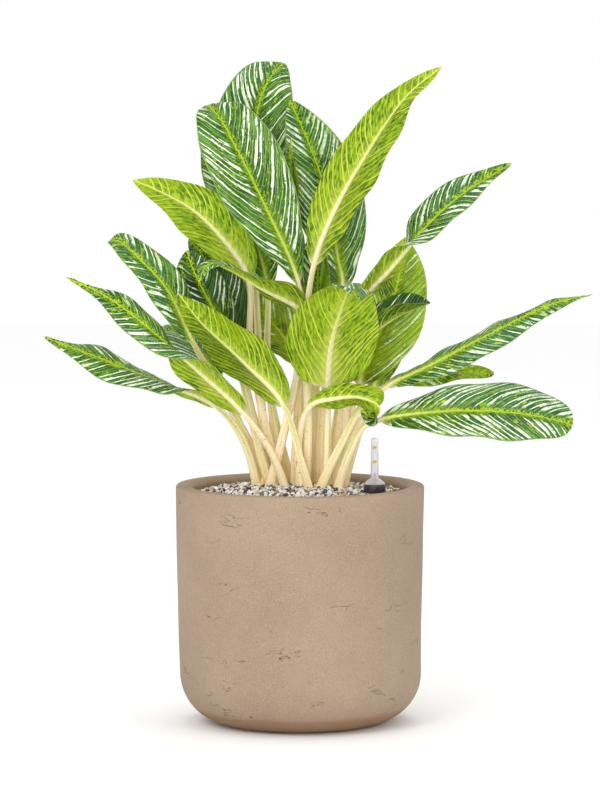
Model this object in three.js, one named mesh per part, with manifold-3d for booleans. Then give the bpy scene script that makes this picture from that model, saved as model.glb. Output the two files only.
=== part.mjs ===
// Potted chinese evergreen: a clump of long-stalked leaves in a round pot of granulate, with a water level
// indicator. Millimetres, +Z up. The origin is the middle of the pot's underside and the front is -Y.
import * as THREE from "three";
import { mergeVertices } from "three/addons/utils/BufferGeometryUtils.js";
import Module from "manifold-3d";

// Pot
const POT_HEIGHT = 240;
const POT_RIM_RADIUS = 125;
const POT_LOW_RADIUS = 121.5;
const POT_FOOT_RADIUS = 72;
const POT_FOOT_ROUND = 50;
const POT_WALL = 17.5;
const POT_FLOOR = 16;
const RIM_OUTER_ROUND = 3.5;
const RIM_INNER_ROUND = 7;
const POT_SIDES = 40;

// Granulate: its top is a low mound, and a bowl-shaped hollow in the bed holds the roots
const GAP = 0.35;
const GRANULATE_RADIUS = POT_RIM_RADIUS - POT_WALL - GAP;
const GRANULATE_EDGE_HEIGHT = 231;
const GRANULATE_MOUND = 7;
const TOP_LAYER = 16;
const ROOT_RADIUS = 66;
const ROOT_DEPTH = 92;
const GRANULATE_SIDES = 28;

// The clump of stalks stands on the root ball, in an oval opening of the top layer
const CLUMP_Y = 20;
const CLUMP_HALF_WIDTH = 56;
const CLUMP_HALF_DEPTH = 50;
const CLUMP_SIDES = 20;
const ROOT_TOP = GRANULATE_EDGE_HEIGHT - TOP_LAYER - GAP;
const STALK_FOOT_HEIGHT = ROOT_TOP + GAP;

// Leaves
const BLADE_HALF_THICKNESS = 0.45;
const STALK_SECTIONS = 5;
const BLADE_SECTIONS = 9;
const FOOT_RADIUS = 4;
const NECK_RADIUS = 2.3;
const RIB_AT_NECK = 1.9;
const RIB_AT_TIP = 0.5;
const BASE_ROUNDED = 0.75;

// Young shoot
const SHOOT_X = -38;
const SHOOT_Y = 2;
const SHOOT_RADIUS = 3;
const SHOOT_TOP = 247;
const SHOOT_SIDES = 10;

// Water level indicator
const ROOM_PLAY = 0.6;
const GAUGE_SIDES = 24;
const GAUGE_X = 74.5;
const GAUGE_Y = -28;
const GAUGE_SLEEVE_RADIUS = 9;
const GAUGE_SLEEVE_BORE = 7.6;
const GAUGE_SLEEVE_BOTTOM = 42;
const GAUGE_COLLAR_RADIUS = 11;
const GAUGE_COLLAR_BOTTOM = 235;
const GAUGE_COLLAR_TOP = 243;
const GAUGE_TUBE_RADIUS = 3.9;
const GAUGE_TUBE_BORE = 2.7;
const GAUGE_DOME_TOP = 249.5;
const GAUGE_TOP = 289.5;
const GAUGE_FLOAT_RADIUS = 6.6;
const GAUGE_FLOAT_BOTTOM = 46;
const GAUGE_FLOAT_HEIGHT = 34;
const GAUGE_NEEDLE_RADIUS = 1.1;
const GAUGE_TIP_RADIUS = 1.9;
const GAUGE_TIP_LENGTH = 4.5;
const GAUGE_TIP_TOP = 254;

// Each leaf: stalk points from the foot up, blade points from the neck to the tip, the blade's full width, the
// way the upper side looks at even steps from neck to tip, how steeply the halves fold up from the midrib at
// neck and tip (degrees, below 0 where they droop), and where along the blade it is widest.
const LEAVES = [
  {
    name: "leaf_crown_back",
    stalk: [[-31, 50], [-38, 50, 300], [-43, 49, 400]],
    blade: [[-47, 50, 488], [-50, 54, 550], [-45, 60, 605], [-33, 68, 643], [-17, 84, 662]],
    width: 84, face: [[0, -0.9, 0.3], [0, -0.8, 0.6]], fold: [20, 10], widest: 0.52,
  },
  {
    name: "leaf_front_tall",
    stalk: [[-5, 17], [-2, 14, 320], [0, 8, 400]],
    blade: [[-2, 4, 443], [-36, 0, 522], [-66, 2, 582], [-81, 10, 608], [-93, 28, 620]],
    width: 78, face: [[0.1, -1, 0.3], [-0.1, -0.9, 0.4], [-0.1, -0.6, 0.8]], fold: [20, 10], widest: 0.6,
    rounded: 0.95,
  },
  {
    name: "leaf_left_behind",
    stalk: [[-18, 44], [-27, 42, 300], [-33, 36, 370]],
    blade: [[-33, 26, 436], [-45, 24, 483], [-72, 26, 538], [-98, 32, 593]],
    width: 54, face: [[0.1, -0.9, 0.4]], fold: [20, 20], widest: 0.5,
  },
  {
    name: "leaf_left_raised",
    stalk: [[-18, 32], [-36, 30, 300], [-50, 22, 380]],
    blade: [[-52, 10, 446], [-70, 4, 477], [-106, -6, 515], [-145, -12, 537], [-167, -14, 546]],
    width: 60, face: [[0.2, 0.9, 0.4]], fold: [12, 6], widest: 0.42,
  },
  {
    name: "leaf_right_back",
    stalk: [[20, 22], [22, 24, 300], [32, 26, 380]],
    blade: [[43, 28, 436], [38, 32, 468], [31, 35, 513], [17, 38, 560], [-10, 48, 625]],
    width: 72, face: [[0.1, -0.9, 0.4]], fold: [20, 12], widest: 0.48,
  },
  {
    name: "leaf_right_tall",
    stalk: [[6, 6], [8, 4, 300], [6, 2, 400]],
    blade: [[14, 0, 461], [34, -8, 514], [60, -18, 562], [105, -28, 629], [141, -24, 659]],
    width: 56, face: [[-0.25, 0.85, 0.4], [-0.3, 0.8, 0.5]], fold: [12, 14], widest: 0.42,
  },
  {
    name: "leaf_new_spear",
    stalk: [[4, 28], [3, 24, 300], [4, 20, 380]],
    blade: [[3, 16, 425], [-2, 15, 488], [-9, 17, 588]],
    width: 22, face: [[0, -1, 0.1]], fold: [68, 68], widest: 0.4,
  },
  {
    name: "leaf_right_long",
    stalk: [[32, 20], [40, 16, 300], [50, 10, 370]],
    blade: [[66, 0, 428], [88, -10, 454], [131, -18, 505], [161, -22, 532], [210, -22, 563]],
    width: 46, face: [[-0.4, 0.8, 0.4], [-0.5, 0.5, 0.6], [-0.35, -0.75, 0.5], [-0.3, -0.8, 0.5], [-0.3, -0.8, 0.5]],
    fold: [12, 12], widest: 0.45,
  },
  {
    name: "leaf_right_broad",
    stalk: [[42, 15], [47, 17, 280]],
    blade: [[59, 16, 340], [75, 18, 377], [91, 22, 416], [101, 28, 452], [107, 40, 487]],
    width: 76, face: [[0, -0.9, 0.4]], fold: [16, 10], widest: 0.45,
  },
  {
    name: "leaf_right_curl",
    stalk: [[44, 4], [46, 8, 290], [46, 2, 345]],
    blade: [[49, -7, 379], [75, -16, 395], [101, -23, 412], [130, -29, 424]],
    width: 54, face: [[-0.25, -0.25, 0.9]], fold: [40, 44], widest: 0.5,
  },
  {
    name: "leaf_front_round",
    stalk: [[27, 2], [28, 0, 300]],
    blade: [[28, -12, 339], [30, -34, 376], [37, -54, 408], [49, -80, 440], [57, -101, 433]],
    width: 90, face: [[0, 0.75, 0.65], [0, 0.8, 0.6], [0, 0.3, 1]], fold: [4, 4], widest: 0.38,
    rounded: 0.5,
  },
  {
    name: "leaf_left_hook",
    stalk: [[-31, 10], [-22, 8, 268], [-5, 2, 340], [1, -2, 378]],
    blade: [[4, -8, 410], [-37, -22, 437], [-81, -30, 462], [-94, -34, 460], [-100, -40, 446]],
    width: 54, face: [[0.2, 0.7, 0.7], [0, 0.1, 1], [-0.4, -0.5, 0.6]], fold: [20, 6], widest: 0.4,
  },
  {
    name: "leaf_left_middle",
    stalk: [[-30, 24], [-41, 24, 272], [-55, 24, 330]],
    blade: [[-70, 20, 386], [-92, 14, 424], [-107, 10, 455], [-114, 20, 474]],
    width: 48, face: [[0, -0.85, 0.5], [-0.2, -0.7, 0.7]], fold: [14, 8], widest: 0.5,
  },
  {
    name: "leaf_left_inner",
    stalk: [[-28, 38], [-46, 38, 300], [-56, 38, 345]],
    blade: [[-62, 36, 378], [-80, 34, 425], [-98, 30, 468], [-112, 28, 486]],
    width: 54, face: [[0.2, -0.9, 0.3]], fold: [14, 10], widest: 0.45,
  },
  {
    name: "leaf_left_low",
    stalk: [[10, -14], [1, -15, 264]],
    blade: [[-16, -14, 320], [-56, -24, 364], [-101, -34, 408], [-122, -34, 436]],
    width: 68, face: [[0.3, 0.7, 0.6]], fold: [12, 8], widest: 0.42,
  },
  {
    name: "leaf_left_far",
    stalk: [[-38, 34], [-52, 31, 280], [-77, 20, 326]],
    blade: [[-108, 4, 384], [-133, -6, 436], [-158, -10, 465], [-182, -8, 485], [-192, 2, 484]],
    width: 40, face: [[0, -0.85, 0.5], [-0.2, -0.6, 0.8]], fold: [10, 6], widest: 0.5,
  },
  {
    name: "leaf_left_long",
    stalk: [[-14, 4], [-29, -3, 272]],
    blade: [[-56, -14, 312], [-99, -32, 354], [-139, -46, 391], [-189, -56, 431], [-231, -60, 452]],
    width: 54, face: [[0.3, 0.7, 0.6], [0.3, 0.6, 0.7], [-0.3, -0.4, 0.9], [-0.3, -0.7, 0.7], [-0.3, -0.7, 0.7]], fold: [0, -18], widest: 0.36,
  },
  {
    name: "leaf_left_lowest",
    stalk: [[-43, 22], [-58, 15, 284]],
    blade: [[-84, 11, 317], [-134, -1, 341], [-169, -16, 356], [-204, -25, 371], [-255, -34, 391]],
    width: 54, face: [[0.1, 0.6, 0.8], [-0.2, -0.3, 0.9], [-0.3, -0.6, 0.7], [-0.3, -0.6, 0.7]], fold: [0, -24], widest: 0.4,
  },
  {
    name: "leaf_right_far",
    stalk: [[19, -8], [41, -11, 281], [64, -5, 322]],
    blade: [[89, -2, 340], [134, -12, 363], [181, -22, 389], [253, -34, 425], [291, -36, 434]],
    width: 38, face: [[0.2, -0.6, 0.8]], fold: [-20, -32], widest: 0.4,
  },
  {
    name: "leaf_right_beneath",
    stalk: [[33, 9], [46, -1, 284], [66, 4, 310]],
    blade: [[87, 14, 338], [116, 14, 346], [150, 11, 352], [195, 4, 351]],
    width: 28, face: [[0.1, -0.7, 0.7]], fold: [4, 4], widest: 0.5,
  },
  {
    name: "leaf_right_low",
    stalk: [[37, -8], [50, -13, 274], [63, -10, 298]],
    blade: [[81, -10, 306], [147, -30, 316], [198, -44, 317], [242, -54, 312], [270, -58, 305]],
    width: 66, face: [[0, -0.8, 0.6]], fold: [6, 0], widest: 0.62,
  },
  {
    name: "leaf_front_ring",
    stalk: [[2, -4], [-1, -3, 286]],
    blade: [[10, -16, 320], [34, -26, 328], [59, -33, 330], [79, -37, 321], [74, -33, 310], [60, -30, 317]],
    width: 32, face: [[0, 0.8, 0.5], [0, 0.8, 0.5], [-0.7, 0.4, 0.3], [0, -0.9, 0.2]], fold: [14, 10], widest: 0.5,
  },
  {
    name: "leaf_back_small",
    stalk: [[-6, 42], [-3, 48, 310]],
    blade: [[-4, 56, 358], [-14, 62, 380], [-43, 68, 415], [-66, 72, 440]],
    width: 50, face: [[-0.1, -0.9, 0.4]], fold: [16, 14], widest: 0.45,
  },
  {
    name: "leaf_back_centre",
    stalk: [[16, 50], [14, 54, 320]],
    blade: [[17, 56, 395], [18, 62, 438], [21, 76, 500]],
    width: 44, face: [[0, -0.9, 0.4]], fold: [16, 14], widest: 0.45,
  },
  {
    name: "leaf_small_spear",
    stalk: [[14, 36], [16, 32, 320]],
    blade: [[21, 22, 410], [24, 18, 440], [28, 18, 473]],
    width: 20, face: [[0, -1, 0.1]], fold: [60, 60], widest: 0.4,
  },
  {
    name: "leaf_rear_left",
    stalk: [[-10, 57], [-30, 74, 320]],
    blade: [[-42, 98, 378], [-54, 126, 420], [-64, 158, 436], [-78, 206, 426]],
    width: 62, face: [[0.2, -0.7, 0.7]], fold: [18, 14], widest: 0.45,
  },
  {
    name: "leaf_rear_right",
    stalk: [[30, 42], [40, 66, 320]],
    blade: [[50, 92, 370], [62, 124, 408], [76, 156, 424], [93, 204, 420]],
    width: 60, face: [[-0.2, -0.7, 0.7]], fold: [18, 14], widest: 0.45,
  },
  {
    name: "leaf_rear_middle",
    stalk: [[4, 54], [7, 84, 300]],
    blade: [[10, 116, 338], [14, 150, 366], [19, 188, 376], [22, 230, 356]],
    width: 60, face: [[0, -0.6, 0.8], [0, -0.2, 1]], fold: [18, 14], widest: 0.45,
  },
  {
    name: "leaf_rear_far_left",
    stalk: [[-40, 46], [-62, 64, 298]],
    blade: [[-84, 82, 340], [-104, 98, 366], [-128, 118, 384], [-160, 142, 384]],
    width: 52, face: [[0.2, -0.5, 0.8]], fold: [14, 10], widest: 0.45,
  },
  {
    name: "leaf_rear_far_right",
    stalk: [[44, 34], [62, 60, 292]],
    blade: [[76, 88, 330], [86, 112, 358], [98, 142, 380], [110, 180, 380]],
    width: 54, face: [[-0.2, -0.5, 0.8]], fold: [14, 10], widest: 0.45,
  },
];

const wasm = await Module();
wasm.setup();

const plain = (color, roughness, metalness = 0) =>
  new THREE.MeshStandardMaterial({ color, roughness, metalness });
const MATERIALS = {
  pot: plain("#a08e7a", 0.92),
  granulate: plain("#c9c2b8", 0.95),
  roots: plain("#b59a72", 0.95),
  leaf: plain("#4f7d17", 0.45),
  black_plastic: plain("#241f26", 0.5),
  clear_plastic: plain("#d4dad8", 0.1),
  white_foam: plain("#e6e3da", 0.8),
  red_plastic: plain("#b3241f", 0.4),
};

// A mesh's geometry with only its merged corner points left
function corners(geometry) {
  const bare = geometry.clone();
  bare.deleteAttribute("normal");
  bare.deleteAttribute("uv");
  return mergeVertices(bare, 1e-3);
}

function solid(geometry) {
  const merged = corners(geometry);
  return new wasm.Manifold(
    new wasm.Mesh({
      numProp: 3,
      vertProperties: new Float32Array(merged.attributes.position.array),
      triVerts: new Uint32Array(merged.index.array),
    }),
  );
}

function geometryOf(body) {
  const { vertProperties, triVerts } = body.getMesh();
  const geometry = new THREE.BufferGeometry();
  geometry.setAttribute("position", new THREE.BufferAttribute(vertProperties, 3));
  geometry.setIndex(new THREE.BufferAttribute(triVerts, 1));
  return geometry;
}

// A round solid from [radius, height] points that run up the outside from the axis and back to it
function turned(points, sides) {
  const profile = points.map(([radius, height]) => new THREE.Vector2(radius, height));
  return new THREE.LatheGeometry(profile, sides).rotateX(Math.PI / 2);
}

// Points on a quarter circle round (radius, height), from one angle to another, in degrees
function arc(radius, height, round, from, to, steps) {
  return Array.from({ length: steps + 1 }, (_, i) => {
    const angle = THREE.MathUtils.degToRad(from + ((to - from) * i) / steps);
    return [radius + round * Math.cos(angle), height + round * Math.sin(angle)];
  });
}

const moundHeight = (radius) =>
  GRANULATE_EDGE_HEIGHT + GRANULATE_MOUND * (1 - (radius / GRANULATE_RADIUS) ** 2);

function pot() {
  const inner = POT_RIM_RADIUS - POT_WALL;
  return turned(
    [
      [0, 0],
      [POT_FOOT_RADIUS, 0],
      ...arc(POT_LOW_RADIUS - POT_FOOT_ROUND, POT_FOOT_ROUND, POT_FOOT_ROUND, -78, 0, 5),
      ...arc(POT_RIM_RADIUS - RIM_OUTER_ROUND, POT_HEIGHT - RIM_OUTER_ROUND, RIM_OUTER_ROUND, 0, 90, 2),
      ...arc(inner + RIM_INNER_ROUND, POT_HEIGHT - RIM_INNER_ROUND, RIM_INNER_ROUND, 90, 180, 3),
      [inner, POT_FOOT_ROUND],
      [inner - 26, POT_FLOOR + 6],
      [inner - 40, POT_FLOOR],
      [0, POT_FLOOR],
    ],
    POT_SIDES,
  );
}

// Room for the indicator's sleeve, as a post to cut with
function gaugeRoom(bottom, top) {
  const radius = GAUGE_SLEEVE_RADIUS + ROOM_PLAY;
  return solid(
    new THREE.CylinderGeometry(radius, radius, top - bottom, GAUGE_SIDES)
      .rotateX(Math.PI / 2)
      .translate(GAUGE_X, GAUGE_Y, (bottom + top) / 2),
  );
}

// The loose top layer: a low mound with an oval opening for the clump, and room for the indicator
function granulateTop() {
  const rings = [1, 0.7, 0.35, 0].map((share) => share * GRANULATE_RADIUS);
  const low = GRANULATE_EDGE_HEIGHT - TOP_LAYER;
  const layer = solid(
    turned(
      [[0, low], [GRANULATE_RADIUS, low], ...rings.map((radius) => [radius, moundHeight(radius)])],
      GRANULATE_SIDES,
    ),
  );
  const clump = solid(
    new THREE.CylinderGeometry(1, 1, 3 * TOP_LAYER, CLUMP_SIDES)
      .rotateX(Math.PI / 2)
      .scale(CLUMP_HALF_WIDTH, CLUMP_HALF_DEPTH, 1)
      .translate(0, CLUMP_Y, GRANULATE_EDGE_HEIGHT),
  );
  return geometryOf(layer.subtract(clump.add(gaugeRoom(low - 1, POT_HEIGHT + TOP_LAYER))));
}

// The bed below, with a bowl for the roots and a shaft for the indicator
function granulateBed() {
  const bowl = rootProfile(ROOT_RADIUS + 2 * GAP, ROOT_DEPTH + 2 * GAP, ROOT_TOP);
  const bed = solid(
    turned(
      [
        [0, POT_FLOOR + GAP],
        [GRANULATE_RADIUS - 41, POT_FLOOR + GAP],
        [GRANULATE_RADIUS - 27, POT_FLOOR + 6 + GAP],
        [GRANULATE_RADIUS, POT_FOOT_ROUND + GAP],
        [GRANULATE_RADIUS, ROOT_TOP],
        ...bowl.reverse(),
      ],
      GRANULATE_SIDES,
    ),
  );
  return geometryOf(bed.subtract(gaugeRoom(GAUGE_SLEEVE_BOTTOM - GAP, ROOT_TOP + 1)));
}

// The outline of the root ball, from its lowest point up to its top edge
function rootProfile(radius, depth, top) {
  const steps = 5;
  return Array.from({ length: steps + 1 }, (_, i) => {
    const angle = ((i / steps) * Math.PI) / 2;
    return [radius * Math.sin(angle), top - depth * Math.cos(angle)];
  });
}

function rootBall() {
  return turned([...rootProfile(ROOT_RADIUS, ROOT_DEPTH, ROOT_TOP), [0, ROOT_TOP]], GRANULATE_SIDES);
}

// The midrib line: equally long steps from the foot to the neck, then from the neck to the tip.
// Each station has its place, its direction and its share of the blade (below 0 on the stalk).
function midrib({ stalk, blade }) {
  const [[footX, footY], ...rest] = stalk;
  const foot = [footX, footY, STALK_FOOT_HEIGHT];
  const above = [footX, footY, STALK_FOOT_HEIGHT + TOP_LAYER];
  const points = [foot, above, ...rest, ...blade].map((point) => new THREE.Vector3(...point));
  const curve = new THREE.CatmullRomCurve3(points, false, "centripetal");
  const neck = (points.length - blade.length) / (points.length - 1);
  const stations = [];
  const walk = (from, to, count, shareFrom, shareTo, skipFirst) => {
    const fine = 120;
    const reach = [0];
    for (let i = 1; i <= fine; i += 1) {
      const a = curve.getPoint(from + ((to - from) * (i - 1)) / fine);
      const b = curve.getPoint(from + ((to - from) * i) / fine);
      reach.push(reach[i - 1] + a.distanceTo(b));
    }
    for (let k = skipFirst ? 1 : 0; k <= count; k += 1) {
      const goal = (reach[fine] * k) / count;
      const next = Math.max(1, reach.findIndex((length) => length >= goal - 1e-9));
      const part = (goal - reach[next - 1]) / (reach[next] - reach[next - 1]);
      const u = Math.min(1, from + ((to - from) * (next - 1 + part)) / fine);
      stations.push({
        place: curve.getPoint(u),
        along: curve.getTangent(u),
        share: shareFrom + ((shareTo - shareFrom) * k) / count,
      });
    }
  };
  walk(0, neck, STALK_SECTIONS, -1, 0, false);
  walk(neck, 1, BLADE_SECTIONS, 0, 1, true);
  return stations;
}

// How wide the blade is at a share of its length, 1 at the widest place
function bladeShape(share, widest, rounded = BASE_ROUNDED) {
  if (share <= 0 || share >= 1) return 0;
  return (share / widest) ** rounded * ((1 - share) / (1 - widest)) ** (rounded * (1 / widest - 1));
}

function mixed(list, share) {
  const spot = Math.max(0, Math.min(1, share)) * (list.length - 1);
  const low = Math.min(list.length - 1, Math.floor(spot));
  const high = Math.min(list.length - 1, low + 1);
  return new THREE.Vector3(...list[low]).lerp(new THREE.Vector3(...list[high]), spot - low);
}

// One leaf: sections of eight points, from the right margin over the upper side and back along the underside,
// joined foot to tip. On the stalk the eight points lie on a circle. Each square is split the same way above and
// below, which keeps the two sides apart where the blade twists.
function leaf({ stalk, blade, width, face, fold, widest, rounded }) {
  const points = [];
  const faces = [];
  const stations = midrib({ stalk, blade });
  stations.forEach(({ place, along, share }, row) => {
    const looks = mixed(face, share);
    const up = looks.addScaledVector(along, -looks.dot(along)).normalize();
    const right = new THREE.Vector3().crossVectors(along, up);
    const grown = THREE.MathUtils.smoothstep(share, 0, 0.12);
    const stalkShare = Math.min(1, share + 1);
    const stalkRadius = THREE.MathUtils.lerp(FOOT_RADIUS, NECK_RADIUS, stalkShare ** 0.7);
    const rib = THREE.MathUtils.lerp(RIB_AT_NECK, RIB_AT_TIP, Math.max(0, share));
    const half = stalkRadius * (1 - grown) + rib * grown + (width / 2) * bladeShape(share, widest, rounded);
    const slope = THREE.MathUtils.degToRad(THREE.MathUtils.lerp(fold[0], fold[1], Math.max(0, share))) * grown;
    const middle = THREE.MathUtils.lerp(stalkRadius * Math.SQRT1_2, half / 2, grown);
    const skin = THREE.MathUtils.lerp(stalkRadius * Math.SQRT1_2, BLADE_HALF_THICKNESS, grown);
    const crown = THREE.MathUtils.lerp(stalkRadius, BLADE_HALF_THICKNESS, grown);
    const keel = THREE.MathUtils.lerp(stalkRadius, rib, grown);
    const section = [
      [1, half, 0], [1, middle, skin], [0, 0, crown], [-1, middle, skin],
      [-1, half, 0], [-1, middle, -skin], [0, 0, -keel], [1, middle, -skin],
    ];
    if (row === stations.length - 1) {
      points.push(place);
      return;
    }
    section.forEach(([side, reach, lift]) => {
      const across = side * reach * Math.cos(slope) - side * lift * Math.sin(slope);
      const raised = reach * Math.sin(slope) + lift * Math.cos(slope);
      points.push(place.clone().addScaledVector(right, across).addScaledVector(up, raised));
    });
  });
  const ring = 8;
  const rows = stations.length - 1;
  for (let row = 0; row < rows - 1; row += 1) {
    for (let i = 0; i < ring; i += 1) {
      const a = row * ring + i;
      const b = row * ring + ((i + 1) % ring);
      if (i < ring / 2) faces.push(a, b + ring, b, a, a + ring, b + ring);
      else faces.push(a, a + ring, b, a + ring, b + ring, b);
    }
  }
  const tip = rows * ring;
  for (let i = 0; i < ring; i += 1) faces.push(tip - ring + i, tip, tip - ring + ((i + 1) % ring));
  for (let i = 1; i < ring - 1; i += 1) faces.push(0, i, i + 1);
  const geometry = new THREE.BufferGeometry().setFromPoints(points);
  geometry.setIndex(faces);
  return geometry;
}

// A young shoot that has just come up: a round point
function newShoot() {
  return turned(
    [
      [0, STALK_FOOT_HEIGHT],
      [SHOOT_RADIUS, STALK_FOOT_HEIGHT],
      [SHOOT_RADIUS, SHOOT_TOP - 3 * SHOOT_RADIUS],
      [0.6 * SHOOT_RADIUS, SHOOT_TOP - SHOOT_RADIUS],
      [0, SHOOT_TOP],
    ],
    SHOOT_SIDES,
  ).translate(SHOOT_X, SHOOT_Y, 0);
}

// Water level indicator, turned about its own upright axis
function gaugeSleeve() {
  return turned(
    [
      [0, GAUGE_SLEEVE_BOTTOM],
      [GAUGE_SLEEVE_RADIUS, GAUGE_SLEEVE_BOTTOM],
      [GAUGE_SLEEVE_RADIUS, GAUGE_COLLAR_BOTTOM],
      [GAUGE_COLLAR_RADIUS, GAUGE_COLLAR_BOTTOM],
      [GAUGE_COLLAR_RADIUS, GAUGE_COLLAR_TOP],
      [GAUGE_SLEEVE_BORE, GAUGE_COLLAR_TOP],
      [GAUGE_SLEEVE_BORE, GAUGE_SLEEVE_BOTTOM + 2],
      [0, GAUGE_SLEEVE_BOTTOM + 2],
    ],
    GAUGE_SIDES,
  );
}

function gaugeDome() {
  const wall = GAUGE_TUBE_RADIUS - GAUGE_TUBE_BORE;
  const bottom = GAUGE_COLLAR_TOP + GAP;
  return turned(
    [
      [GAUGE_COLLAR_RADIUS, bottom],
      [GAUGE_TUBE_RADIUS, GAUGE_DOME_TOP],
      [GAUGE_TUBE_RADIUS, GAUGE_TOP - 2],
      [GAUGE_TUBE_RADIUS - 2, GAUGE_TOP],
      [0, GAUGE_TOP],
      [0, GAUGE_TOP - wall],
      [GAUGE_TUBE_BORE, GAUGE_TOP - 2 * wall],
      [GAUGE_TUBE_BORE, GAUGE_DOME_TOP - wall],
      [GAUGE_COLLAR_RADIUS - 2 * wall, bottom],
      [GAUGE_COLLAR_RADIUS, bottom],
    ],
    GAUGE_SIDES,
  );
}

function gaugeFloat() {
  const top = GAUGE_FLOAT_BOTTOM + GAUGE_FLOAT_HEIGHT;
  return turned(
    [
      [0, GAUGE_FLOAT_BOTTOM],
      [GAUGE_FLOAT_RADIUS - 2, GAUGE_FLOAT_BOTTOM],
      [GAUGE_FLOAT_RADIUS, GAUGE_FLOAT_BOTTOM + 2],
      [GAUGE_FLOAT_RADIUS, top - 2],
      [GAUGE_FLOAT_RADIUS - 2, top],
      [0, top],
    ],
    GAUGE_SIDES,
  );
}

function gaugeNeedle() {
  const bottom = GAUGE_FLOAT_BOTTOM + GAUGE_FLOAT_HEIGHT + GAP;
  return turned(
    [
      [0, bottom],
      [GAUGE_NEEDLE_RADIUS, bottom],
      [GAUGE_NEEDLE_RADIUS, GAUGE_TIP_TOP - GAUGE_TIP_LENGTH],
      [GAUGE_TIP_RADIUS, GAUGE_TIP_TOP - GAUGE_TIP_LENGTH],
      [GAUGE_TIP_RADIUS, GAUGE_TIP_TOP],
      [0, GAUGE_TIP_TOP],
    ],
    12,
  );
}

const evergreen = new THREE.Group();
function place(name, geometry, material, parent = evergreen) {
  const mesh = new THREE.Mesh(geometry, material);
  mesh.name = name;
  parent.add(mesh);
}

place("pot", pot(), MATERIALS.pot);
place("granulate_bed", granulateBed(), MATERIALS.granulate);
place("granulate_top", granulateTop(), MATERIALS.granulate);
place("root_ball", rootBall(), MATERIALS.roots);
LEAVES.forEach((one) => place(one.name, leaf(one), MATERIALS.leaf));
place("new_shoot", newShoot(), MATERIALS.leaf);

const gauge = new THREE.Group();
gauge.position.set(GAUGE_X, GAUGE_Y, 0);
evergreen.add(gauge);
place("indicator_sleeve", gaugeSleeve(), MATERIALS.black_plastic, gauge);
place("indicator_dome", gaugeDome(), MATERIALS.clear_plastic, gauge);
place("indicator_float", gaugeFloat(), MATERIALS.white_foam, gauge);
place("indicator_needle", gaugeNeedle(), MATERIALS.red_plastic, gauge);

export default evergreen;
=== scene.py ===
"""Potted chinese evergreen: the looks of its leaves, pot, granulate and water level indicator.

Metres, +Z up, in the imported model's frame. The front is -Y. New surfaces are numpy grids; finishes are node
materials that read object coordinates or the values stored on a leaf's own points.
"""
import math
from typing import NamedTuple

import bpy
import numpy as np
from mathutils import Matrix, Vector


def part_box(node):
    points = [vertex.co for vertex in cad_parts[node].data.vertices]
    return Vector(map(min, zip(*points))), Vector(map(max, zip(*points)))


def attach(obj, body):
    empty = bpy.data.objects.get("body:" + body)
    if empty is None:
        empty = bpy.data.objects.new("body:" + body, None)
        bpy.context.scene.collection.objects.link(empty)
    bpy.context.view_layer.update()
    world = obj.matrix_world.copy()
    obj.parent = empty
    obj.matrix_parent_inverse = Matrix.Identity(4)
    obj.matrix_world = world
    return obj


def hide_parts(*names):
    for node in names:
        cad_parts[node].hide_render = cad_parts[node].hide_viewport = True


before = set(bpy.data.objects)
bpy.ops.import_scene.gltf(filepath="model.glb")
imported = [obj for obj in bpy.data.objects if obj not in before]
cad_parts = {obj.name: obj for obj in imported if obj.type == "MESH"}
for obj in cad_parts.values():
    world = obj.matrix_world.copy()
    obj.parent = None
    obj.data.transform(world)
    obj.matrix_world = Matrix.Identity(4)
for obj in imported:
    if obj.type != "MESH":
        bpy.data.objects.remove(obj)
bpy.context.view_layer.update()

MM = 0.001

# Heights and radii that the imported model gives
POT_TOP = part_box("pot")[1].z
POT_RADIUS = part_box("pot")[1].x
TOP_LAYER_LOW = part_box("granulate_top")[0].z
GRANULATE_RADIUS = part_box("granulate_top")[1].x
SLEEVE_LOW, SLEEVE_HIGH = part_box("indicator_sleeve")
GAUGE_X = (SLEEVE_LOW.x + SLEEVE_HIGH.x) / 2
GAUGE_Y = (SLEEVE_LOW.y + SLEEVE_HIGH.y) / 2
COLLAR_RADIUS = (SLEEVE_HIGH.x - SLEEVE_LOW.x) / 2
TUBE_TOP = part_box("indicator_dome")[1].z
NEEDLE_LOW, NEEDLE_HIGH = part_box("indicator_needle")
SHOOT_LOW, SHOOT_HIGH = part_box("new_shoot")

# Pot
POT_WALL = 17.5 * MM
POT_LOW_RADIUS = POT_RADIUS - 3.5 * MM
POT_FOOT_ROUND = 50 * MM
POT_FLOOR = 16 * MM
RIM_OUTER_ROUND = 3.5 * MM
RIM_INNER_ROUND = 7 * MM
POT_AROUND = 224
POT_UNEVEN = 0.35 * MM
FLOOR_EDGE_INSET = 40 * MM
FLOOR_BEND_INSET = 26 * MM
FLOOR_BEND_RISE = 6 * MM

# Granulate
EDGE_HEIGHT = TOP_LAYER_LOW + 16 * MM
MOUND = 7 * MM
PEBBLES = 6200
PEBBLE_RADII = (1.4 * MM, 3.0 * MM)
PEBBLE_SINK_MM = 4.2
FINES_DEPTH = 3 * MM
FINES_RIPPLE = 1.2 * MM
FINES_RIPPLE_TURN = 900

# Water level indicator
SLEEVE_INSET = 2 * MM
BORE_INSET = 3.4 * MM
SLEEVE_FLOOR = 2 * MM
COLLAR_HEIGHT = 8 * MM
COLLAR_LOW_ROUND = 1 * MM
COLLAR_TOP_ROUND = 1.5 * MM
TUBE_RADIUS = 3.9 * MM
TUBE_WALL = 1.2 * MM
TUBE_END_ROUND = 2 * MM
DOME_GAP = 0.35 * MM
DOME_HEIGHT = 6.5 * MM
NEEDLE_RADIUS = 1.1 * MM
TIP_RADIUS = 1.9 * MM
TIP_LENGTH = 4.5 * MM
TIP_LOW_ROUND = 0.5 * MM
TIP_TOP_ROUND = 0.7 * MM
BANDS_BELOW_TOP = (9.3 * MM, 23.5 * MM)

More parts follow.
